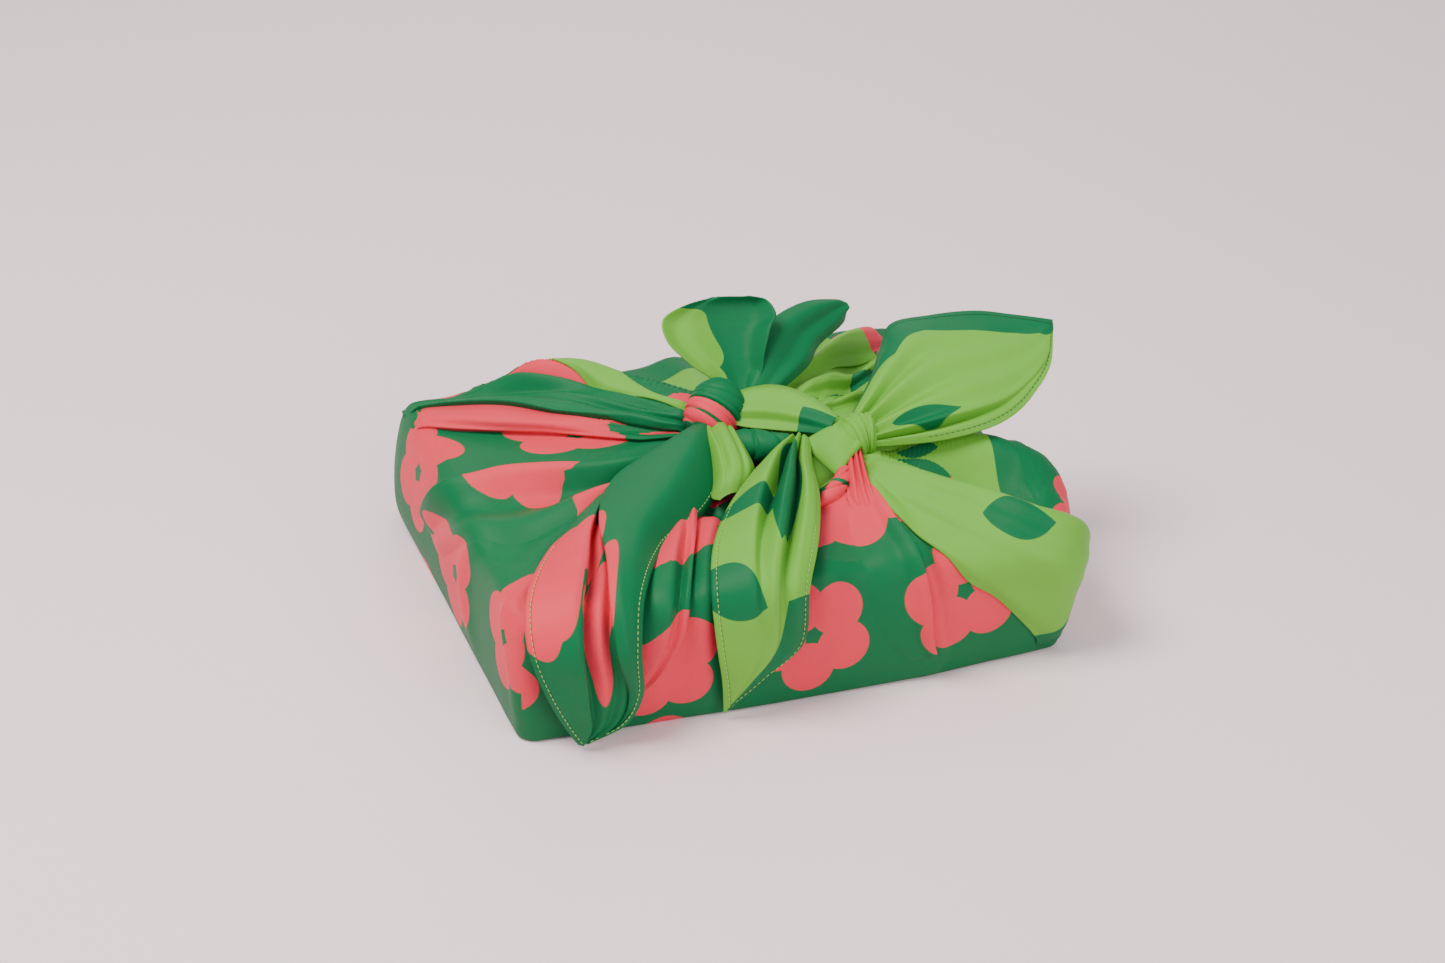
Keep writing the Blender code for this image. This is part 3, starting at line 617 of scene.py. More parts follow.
# rows: left x, y, z, right x, y, z and crown, from one end to the other.
# rails: across the sheet from its left edge, the share of the width and the
# height, each read evenly from one end to the other.
PLEATS = {
    "rear_pleat": {
        "rows": [
            (-167, 130, 74, -167, 122, 72, 0),
            (-140, 120, 80, -142, 106, 80, 0),
            (-108, 113, 92, -113, 82, 92, 0),
            (-84, 95, 101, -88, 61, 93, 0),
            (-61, 75, 99, -66, 41, 96, 0),
            (-30, 35, 104, -40, 22, 96, 0),
            (-14, 20, 104, -17, 8, 96, 0),
        ],
        "rails": [
            ([0.06], [0]),
            ([0.0], [0.5, 1.5, 1.5, 1]),
            ([0.06], [1, 4, 4, 3]),
            ([0.32], [1, 1.2, 1.0, 0.8]),
            ([0.50], [1, 3.5, 4, 3.5]),
            ([0.62], [1, 1.2, 0.6, 0.4]),
            ([0.85], [1.5, 4.5, 5, 4]),
            ([1.0], [2, 5, 5, 3.5]),
            ([0.96], [0, 0, 0, 0]),
        ],
        "flat": (0.048, 0.194),
        "area": 0.0059,
    },
    "pink_roll": {
        "rows": [
            (-160, 118, 76, -166, 104, 70, 0),
            (-140, 106, 82, -150, 88, 78, 0),
            (-113, 84, 92, -125, 73, 81, 0),
            (-88, 63, 93, -92, 53, 85, 0),
            (-66, 43, 96, -68, 34, 89, 0),
            (-40, 24, 96, -42, 14, 92, 0),
            (-17, 9, 96, -20, 5, 95, 0),
        ],
        "rails": [
            ([0.0], [-0.8]),
            ([0.3], [0.2, 0.4, 0.4, 0.3]),
            ([0.75], [1.5, 4, 3.4, 2]),
            ([1.0], [1.5, 4.2, 3.4, 2]),
            ([0.92], [-0.3]),
        ],
        "pink ovals": [(0.36, 0.55, 62, 22, 0)],
        "slip": (-40.0, 60.0),
        "flat": (0.025, 0.184),
        "area": 0.0036,
    },
    "light_strip": {
        "rows": [
            (-78, 118, 98, -76, 108, 98, 0),
            (-61, 104, 106, -66, 86, 104, 0),
            (-44, 80, 107, -58, 65, 104, 0),
            (-35, 60, 106, -45, 55, 103, 0),
            (-26, 44, 105, -33, 44, 103, 0),
            (-10, 24, 104, -14, 18, 102, 0),
        ],
        "rails": [
            ([0.0], [-1]),
            ([0.2], [0.8, 1.5, 1.5, 1]),
            ([0.8], [1, 2, 2, 1.5]),
            ([1.0], [0.8, 1.6, 1.6, 1]),
            ([0.95], [-0.5]),
        ],
        "light": [(0, -1, 2), (1, -1, 2)],
        "flat": (0.016, 0.106),
    },
    "left_fold": {
        "rows": [
            (-171, 58, 36, -172, 20, 26, 0),
            (-171, 44, 55, -172, -6, 48, 0),
            (-166, 25, 74, -168, -32, 70, 0),
            (-152, 15, 83, -152, -52, 80, 0),
            (-134, 12, 85, -132, -56, 82, 0),
            (-108, 3, 87, -106, -54, 84, 0),
            (-81, -8, 89, -80, -46, 86, 0),
            (-60, -13, 90, -56, -38, 88, 0),
            (-38, -12, 93, -34, -26, 92, 0),
        ],
        "rails": [
            ([0.06], [-0.3]),
            ([0.0], [0.5, 3, 5, 6, 5]),
            ([0.03], [1, 8, 13, 14, 9]),
            ([0.12], [1, 7, 12, 13, 8]),
            ([0.28], [0.5, 3, 3, 2, 1]),
            ([0.42], [0, 0.4, -1, -1.5, -1]),
            ([0.70], [0.5, 4, 7, 9, 7]),
            ([1.0], [-1.2]),
        ],
        "flat": (0.073, 0.202),
        "area": 0.0101,
    },
    "front_tuck": {
        "rows": [
            (-62, -44, 88, -36, -52, 88, 0),
            (-66, -66, 86, -42, -72, 86, 0),
            (-78, -94, 84, -55, -105, 83, 0),
            (-94, -130, 77, -67, -133, 76, 0),
            (-106, -142, 52, -74, -141, 55, 0),
            (-114, -142, 30, -87, -142, 36, 0),
            (-120, -142, 16, -100, -142, 22, 0),
        ],
        "rails": [
            ([0.0], [-1]),
            ([0.3], [1, 2, 2, 0]),
            ([0.62], [3, 5, 4, 0.5]),
            ([0.78], [1, 1.5, 1, 0]),
            ([0.92], [4, 6, 5, 1]),
            ([1.0], [3, 5, 4, 1]),
            ([0.97], [-0.3]),
        ],
        "flat": (0.041, 0.158),
    },
    "front_flap": {
        "rows": [
            (50, -72, 92, 63, -70, 94, 0),
            (40, -98, 84, 66, -94, 91, 0),
            (36, -128, 78, 69, -128, 79, 0),
            (36, -143, 56, 74, -144, 56, 0),
            (44, -143, 34, 77, -146, 32, 0),
            (62, -143, 12, 82, -146, 12, 0),
        ],
        "rails": [
            ([0.0], [-1]),
            ([0.4], [1, 1.5, 1.5, 0.2]),
            ([0.7], [1, 0.8, 0.4, 0]),
            ([0.88], [2, 4.2, 4.0, 1.5]),
            ([1.0], [2, 4.5, 4.4, 1.5]),
            ([0.94], [-0.3]),
        ],
        "merges": 0,
        "pink ovals": [(0.17, 0.45, 22, 17, -15)],
        "slip": (4.0, 2.0),
        "flat": (0.041, 0.135),
    },
    "right_band": {
        "rows": [
            (60, -62, 98, 68, -56, 100, 0),
            (64, -92, 92, 82, -71, 100, 0),
            (74, -113, 87, 97, -83, 99, 0),
            (85, -131, 80, 112, -93, 96, 0),
            (100, -145, 67, 127, -103, 92, 0),
            (118, -146, 50, 144, -112, 88, 0),
            (135, -148, 33, 164, -108, 76, 0),
            (148, -147, 20, 177, -96, 60, 0),
            (159, -144, 8, 177, -92, 34, 0),
        ],
        "rails": [
            ([0.03], [-0.5]),
            ([0.0], [1, 1.5, 1.5, 1.2, 1]),
            ([0.04], [2, 3, 3, 2.4, 1.5]),
            ([0.3], [3, 4, 3, 2, 1]),
            ([0.6], [4, 5, 4, 2, 1]),
            ([0.9], [4, 6, 6, 2, -0.5]),
            ([1.0], [3, 5, 6, 1.5, -1]),
            ([0.97], [-1]),
        ],
        "creases": [
            # across at start and end, from, to, height, width
            (0.35, 0.30, 0.0, 0.75, -1.0, 0.05),
            (0.55, 0.50, 0.1, 0.95, -1.2, 0.05),
            (0.75, 0.72, 0.2, 1.0, -1.2, 0.06),
        ],
        "light": [(0, -1, 2), (0.86, -1, 2), (1, 1.9, 2)],
        "dark leaves": [(0.56, 0.70, 17, 12, 20)],
        "merges": -1,
        "flat": (0.100, 0.177),
        "area": 0.0130,
    },
    "back_right_pleat_outer": {
        "rows": [
            (24, 30, 101, 36, 16, 101, 0),
            (52, 52, 101, 66, 36, 101, 0),
            (80, 74, 99, 94, 57, 99, 0),
            (108, 96, 94, 122, 79, 95, 0),
            (136, 118, 84, 150, 101, 86, 0),
        ],
        "rails": [
            ([0.0], [-1]),
            ([0.35], [1, 4, 6, 5, 2]),
            ([0.62], [2, 8, 10, 9, 3]),
            ([0.74], [2, 7, 9, 8, 3]),
            ([0.80], [0.5, 2, 2, 2, 0]),
            ([1.0], [-1]),
        ],
        "merges": 0,
        "flat": (0.030, 0.150),
    },
    "back_right_pleat_middle": {
        "rows": [
            (40, 24, 101, 50, 8, 101, 0),
            (64, 38, 101, 74, 20, 101, 0),
            (90, 52, 99, 100, 33, 99, 0),
            (118, 68, 95, 128, 48, 96, 0),
            (148, 86, 86, 156, 66, 87, 0),
        ],
        "rails": [
            ([0.0], [-1]),
            ([0.35], [1, 3, 4, 3, 1]),
            ([0.62], [2, 7, 8, 7, 3]),
            ([0.74], [2, 6, 7, 6, 2]),
            ([0.80], [0.5, 1, 1, 1, 0]),
            ([1.0], [-1]),
        ],
        "merges": 0,
        "flat": (0.028, 0.130),
    },
    "back_right_pleat_near": {
        "rows": [
            (54, 8, 100, 58, -6, 100, 0),
            (76, 16, 99, 80, 0, 99, 0),
            (100, 24, 98, 104, 7, 98, 0),
            (126, 34, 94, 130, 16, 95, 0),
            (154, 46, 86, 158, 28, 87, 0),
        ],
        "rails": [
            ([0.0], [-1]),
            ([0.35], [1, 2, 3, 2, 1]),
            ([0.62], [2, 6, 7, 6, 3]),
            ([0.74], [2, 5, 6, 5, 2]),
            ([0.80], [0.5, 1, 1, 1, 0]),
            ([1.0], [-1]),
        ],
        "merges": 0,
        "flat": (0.026, 0.115),
    },
}


def read_evenly(values, share):
    """Values spread evenly along a sheet, read at shares of its length."""
    values = np.array(values * 2 if len(values) == 1 else values, float)
    return smooth_path(values[:, None], share)[:, 0]


def cast_onto(surface, grid, facing):
    """How far each point would move along facing to lie on what is under it, or nan."""
    moves = np.full(grid.shape[:2], np.nan)
    for row in range(grid.shape[0]):
        way = Vector(facing[row])
        for column in range(grid.shape[1]):
            start = Vector(grid[row, column]) + way * CAST_REACH
            hit = surface.ray_cast(start, -way, 2 * CAST_REACH)
            if hit[0] is not None:
                moves[row, column] = CAST_REACH - hit[3]
    return moves


def bridged(moves, across, join):
    """Lets a stiff layer span the small hollows below it, away from the side where it joins."""
    spanned = np.nan_to_num(moves, nan=0.0)
    for _pass in range(BRIDGE_WIDENINGS):
        beside = np.pad(spanned, ((0, 0), (1, 1)), mode="edge")
        spanned = np.maximum(spanned, np.maximum(beside[:, :-2], beside[:, 2:]))
    for _pass in range(BRIDGE_SMOOTHINGS):
        padded = np.pad(spanned, 1, mode="edge")
        spanned = (padded[1:-1, :-2] + padded[1:-1, 2:] + padded[:-2, 1:-1] + padded[2:, 1:-1] + 4 * spanned) / 8
    share = np.clip(np.abs(across - join) / BRIDGE_START, 0, 1)
    return np.nan_to_num(moves, nan=0.0) * (1 - share) + spanned * share


def band_field(table, share, across, width):
    """How far a point lies inside a band of the print that runs along a sheet."""
    table = np.array(table, float)
    low = np.interp(share, table[:, 0], table[:, 1])
    high = np.interp(share, table[:, 0], table[:, 2])
    return np.minimum(across - low[:, None], high[:, None] - across) * width[:, None]


def motif_field(motifs, share, across, length, width, pointed=False):
    """How far a point lies inside the ovals or pointed leaves of the print on a sheet.

    Each has its share along and across the sheet, its half length, its half width and its lean.
    """
    field = np.full(across.shape, -FAR)
    for middle, side, half_length, half_width, lean in motifs:
        down = (share[:, None] - middle) * length
        over = (across - side) * width[:, None]
        lean = math.radians(lean)
        lengthwise = (down * math.cos(lean) + over * math.sin(lean)) / half_length
        sideways = (over * math.cos(lean) - down * math.sin(lean)) / half_width
        inside = 1 - lengthwise ** 2 - np.abs(sideways) if pointed else 1 - np.hypot(lengthwise, sideways)
        field = np.maximum(field, inside * min(half_length, half_width))
    return field


def place_on_cloth(grid):
    """Where points close to the wrap lie on the flat cloth."""
    points = grid.reshape(-1, 3)
    found = [wrap_surface.find_nearest(Vector(point)) for point in points]
    row, column = np.divmod(np.array([hit[2] for hit in found]), WRAP_COLUMNS)
    corner = lifted[row, column]
    away = np.array([tuple(hit[0]) for hit in found]) - corner
    beside = lifted[row, (column + 1) % WRAP_COLUMNS] - corner
    above = lifted[row + 1, column] - corner
    a, b, c = (beside * beside).sum(1), (beside * above).sum(1), (above * above).sum(1)
    p, q = (away * beside).sum(1), (away * above).sum(1)
    area = np.maximum(a * c - b * b, 1e-9)
    spots = cut[row, column].astype(float)
    spots[:, 0] += (c * p - b * q) / area * WRAP_ROUND / WRAP_COLUMNS
    spots[:, 1] += (a * q - b * p) / area * (length[row + 1] - length[row])
    half = WRAP_ROUND / 2
    spots[:, 0] = spots[0, 0] + (spots[:, 0] - spots[0, 0] + half) % WRAP_ROUND - half
    return spots.reshape(*grid.shape[:2], 2)


def folded_sheet(name, shape, finish, resting=None, clear=None, steps=110):
    """A strip of cloth between two edges, folded along its rails.

    resting is a surface that it lies on throughout, and clear one that it only stays out of.
    """
    share = np.linspace(0, 1, steps)
    rows = smooth_path(shape["rows"], share)
    left, right, crown = rows[:, :3], rows[:, 3:6], rows[:, 6]
    rails = shape["rails"]
    across = np.array([read_evenly(places, share) for places, _heights in rails]).T
    heights = np.array([read_evenly(tall, share) for _places, tall in rails]).T
    spots = np.linspace(0, len(rails) - 1, (len(rails) - 1) * RAIL_COLUMNS + 1)
    low = np.minimum(spots.astype(int), len(rails) - 2)
    rest = spots - low
    across = across[:, low] * (1 - rest) + across[:, low + 1] * rest
    heights = heights[:, low] * (1 - rest) + heights[:, low + 1] * rest
    for _pass in range(ROUNDING):
        for values in (across, heights):
            values[:, 1:-1] = (values[:, :-2] + 2 * values[:, 1:-1] + values[:, 2:]) / 4
    for at_start, at_end, begin, end, height, width in shape.get("creases", []):
        along = np.clip((share - begin) / (end - begin), 0, 1)
        crest = at_start + (at_end - at_start) * along
        swell = height * np.sin(math.pi * along) ** 0.7
        heights += swell[:, None] * np.exp(-((across - crest[:, None]) / width) ** 2)
    if resting:
        fade = np.clip(share / END_FADE, 0, 1) * np.clip((1 - share) / END_FADE, 0, 1)
        fade = (fade * fade * (3 - 2 * fade))[:, None]
        heights = heights * fade - END_SINK * (1 - fade)
    run = np.gradient((left + right) / 2, axis=0)
    facing = np.cross(right - left, run)
    facing /= np.linalg.norm(facing, axis=1)[:, None]
    middle = steps // 2
    if facing[middle] @ np.array(OUTER_SIDE) < 0:
        facing = -facing
    flat = left[:, None] + (right - left)[:, None] * across[..., None]
    lift = heights + crown[:, None] * np.clip(4 * across * (1 - across), 0, 1)
    if resting:
        lift += bridged(cast_onto(resting, flat, facing), across, shape.get("merges", 1))
    grid = flat + facing[:, None] * lift[..., None]
    if clear:
        moves = cast_onto(clear, grid, facing)
        moves = np.nan_to_num(moves, nan=-CLEARANCE) + CLEARANCE
        grid += facing[:, None] * np.clip(moves, 0, CLEARANCE_MOST)[..., None]
    side = np.linalg.norm(np.diff(grid, axis=1), axis=2)
    out = np.concatenate([np.zeros((steps, 1)), np.cumsum(side, axis=1)], axis=1)
    travel = np.linalg.norm(np.diff((left + right) / 2, axis=0), axis=1)
    along = np.concatenate([[0], np.cumsum(travel)])
    span = np.linalg.norm(right - left, axis=1)
    place = np.stack(np.broadcast_arrays(out - out[:, -1:] / 2, along[:, None]), -1)
    light = np.full(across.shape, -FAR)
    if "light" in shape:
        light = band_field(shape["light"], share, across, span)
    elif resting:
        place = place_on_cloth(grid)
        places = place[..., 0].ravel() % WRAP_ROUND
        light = place[..., 1] - round_the_loop(LIGHT_FROM, places)[:, 0].reshape(across.shape)
        from_join = np.clip(np.abs(across - shape.get("merges", 1)), 0, 1)
        place = place + (from_join * from_join * (3 - 2 * from_join))[..., None] * shape.get("slip", SLIP)
    sizes = (share, across, along[-1], span)
    light = np.minimum(light, -motif_field(shape.get("dark leaves", []), *sizes, pointed=True))
    light = np.maximum(light, motif_field(shape.get("light ovals", []), *sizes))
    pink = motif_field(shape.get("pink ovals", []), *sizes)
    hem = np.full(across.shape, FAR)
    sewn = []
    for side, begin, end in shape.get("hems", []):
        inside = out if side == "left" else out[:, -1:] - out
        hem = np.minimum(hem, inside)
        rows_sewn = np.arange(int(begin * steps), int(end * steps))
        line = []
        for row in rows_sewn:
            ways = (inside[row], grid[row]) if side == "left" else (inside[row, ::-1], grid[row, ::-1])
            line.append([np.interp(STITCH_INSET, ways[0], ways[1][:, axis]) for axis in range(3)])
        sewn.append(np.array(line) + facing[rows_sewn] * (CLOTH_THICKNESS / 2 + STITCH_PROUD))
    corner = grid[middle, 0]
    if np.cross(grid[middle, 1] - corner, grid[middle + 1, 0] - corner) @ facing[middle] < 0:
        grid, place, light, pink, hem = (field[:, ::-1] for field in (grid, place, light, pink, hem))
    made = cloth_mesh(name, grid, place, light, pink, hem=hem)
    solid = made.modifiers.new("thickness", "SOLIDIFY")
    solid.thickness = CLOTH_THICKNESS * MM
    solid.offset = 0
    solid.use_even_offset = False
    stitches = [stitch_line(name + "_stitches", sewn, shape["thread"])] if sewn else []
    lay_cloth(made, finish)
    return made


plain_sateen = printed_cloth("printed sateen, bare part", (0.02, 0.03), blossoms=0.0, leaves=0.0)
for name, shape in PLEATS.items():
    finish = plain_sateen if name in ("rear_pleat", "light_strip", "right_band") else printed_sateen
    folded_sheet(name, shape, finish, resting=wrap_surface)

# The free ends: the four corners of the square, each a triangle of cloth with
# a narrow hem turned under and sewn down. Two hang over the front wall, one
# stands up as a leaf and one is folded in two lobes behind.
STITCH_INSET = 3.4        # from the edge to the seam
STITCH_SPACING = 3.3
STITCH_LENGTH = 2.3
STITCH_WIDTH = 0.6
STITCH_PROUD = 0.1
# One light green thread; its darker copy is the same thread with painted shade, used where it sews light green
# ground.
THREAD_COLOURS = {
    "light green thread": (0.30, 0.52, 0.09, 1),
    "green thread in painted shade": (0.010, 0.105, 0.035, 1),
}
threads = {}
for name, colour in THREAD_COLOURS.items():
    threads[name], tree, shader = finish_material(name, 0.5, sheen=0.05, specular=0.35)
    place = add_node(tree, "ShaderNodeTexCoord").outputs["Object"]
    strands = add_node(tree, "ShaderNodeTexNoise", {"Vector": place, "Scale": 2200.0, "Detail": 2.0})
    tone = add_node(tree, "ShaderNodeMapRange", {"Value": strands.outputs["Fac"], "To Min": 0.75, "To Max": 1.25})
    varied = add_node(tree, "ShaderNodeHueSaturation", {"Color": colour, "Value": tone.outputs["Result"]})
    twist = add_node(tree, "ShaderNodeBump", {"Height": strands.outputs["Fac"], "Strength": 0.4, "Distance": 0.0001})
    tree.links.new(varied.outputs["Color"], shader.inputs["Base Color"])
    tree.links.new(twist.outputs["Normal"], shader.inputs["Normal"])

running_stitch = bpy.data.node_groups.new("running stitch", "GeometryNodeTree")
running_stitch.interface.new_socket("Seam", in_out="INPUT", socket_type="NodeSocketGeometry")
for name in ("Spacing", "Length", "Width"):
    running_stitch.interface.new_socket(name, in_out="INPUT", socket_type="NodeSocketFloat")
running_stitch.interface.new_socket("Thread", in_out="INPUT", socket_type="NodeSocketMaterial")
running_stitch.interface.new_socket("Stitches", in_out="OUTPUT", socket_type="NodeSocketGeometry")
start = add_node(running_stitch, "NodeGroupInput").outputs
seam = add_node(running_stitch, "GeometryNodeMeshToCurve", {"Mesh": start["Seam"]}).outputs["Curve"]
spaced = add_node(running_stitch, "GeometryNodeResampleCurve", {"Curve": seam, "Length": start["Spacing"]},
                  mode="LENGTH")
thread = add_node(running_stitch, "GeometryNodeMeshUVSphere", {"Segments": 6, "Rings": 5, "Radius": 0.5})
size = add_node(running_stitch, "ShaderNodeCombineXYZ",
                {"X": start["Width"], "Y": start["Width"], "Z": start["Length"]})
tangent = add_node(running_stitch, "GeometryNodeInputTangent").outputs["Tangent"]
along_seam = add_node(running_stitch, "FunctionNodeAlignRotationToVector", {"Vector": tangent}, axis="Z")
placed = add_node(running_stitch, "GeometryNodeInstanceOnPoints", {
    "Points": spaced.outputs["Curve"], "Instance": thread.outputs["Mesh"],
    "Rotation": along_seam.outputs["Rotation"], "Scale": size.outputs["Vector"]})
real = add_node(running_stitch, "GeometryNodeRealizeInstances", {"Geometry": placed.outputs["Instances"]})
finished = add_node(running_stitch, "GeometryNodeSetMaterial", {"Geometry": real.outputs["Geometry"],
                                                               "Material": start["Thread"]})
add_node(running_stitch, "NodeGroupOutput", {"Stitches": finished.outputs["Geometry"]})


def stitch_line(name, lines, thread):
    """Running stitches along the seams of a hem."""
    points, edges = [], []
    for line in lines:
        edges += [(len(points) + step, len(points) + step + 1) for step in range(len(line) - 1)]
        points += (line * MM).tolist()
    mesh = bpy.data.meshes.new(name + "_seam")
    mesh.from_pydata(points, edges, [])
    seam = bpy.data.objects.new(name + "_seam", mesh)
    bpy.context.scene.collection.objects.link(seam)
    sewing = seam.modifiers.new("stitches", "NODES")
    sewing.node_group = running_stitch
    sizes = {"Spacing": STITCH_SPACING * MM, "Length": STITCH_LENGTH * MM, "Width": STITCH_WIDTH * MM,
             "Thread": threads[thread]}
    for socket in running_stitch.interface.items_tree:
        if socket.name in sizes:
            sewing[socket.identifier] = sizes[socket.name]
    graph = bpy.context.evaluated_depsgraph_get()
    sewn = bpy.data.objects.new(name, bpy.data.meshes.new_from_object(seam.evaluated_get(graph)))
    bpy.data.objects.remove(seam)
    sewn.data.shade_smooth()
    bpy.context.scene.collection.objects.link(sewn)
    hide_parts("cloth")
    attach(sewn, "root")
    return sewn


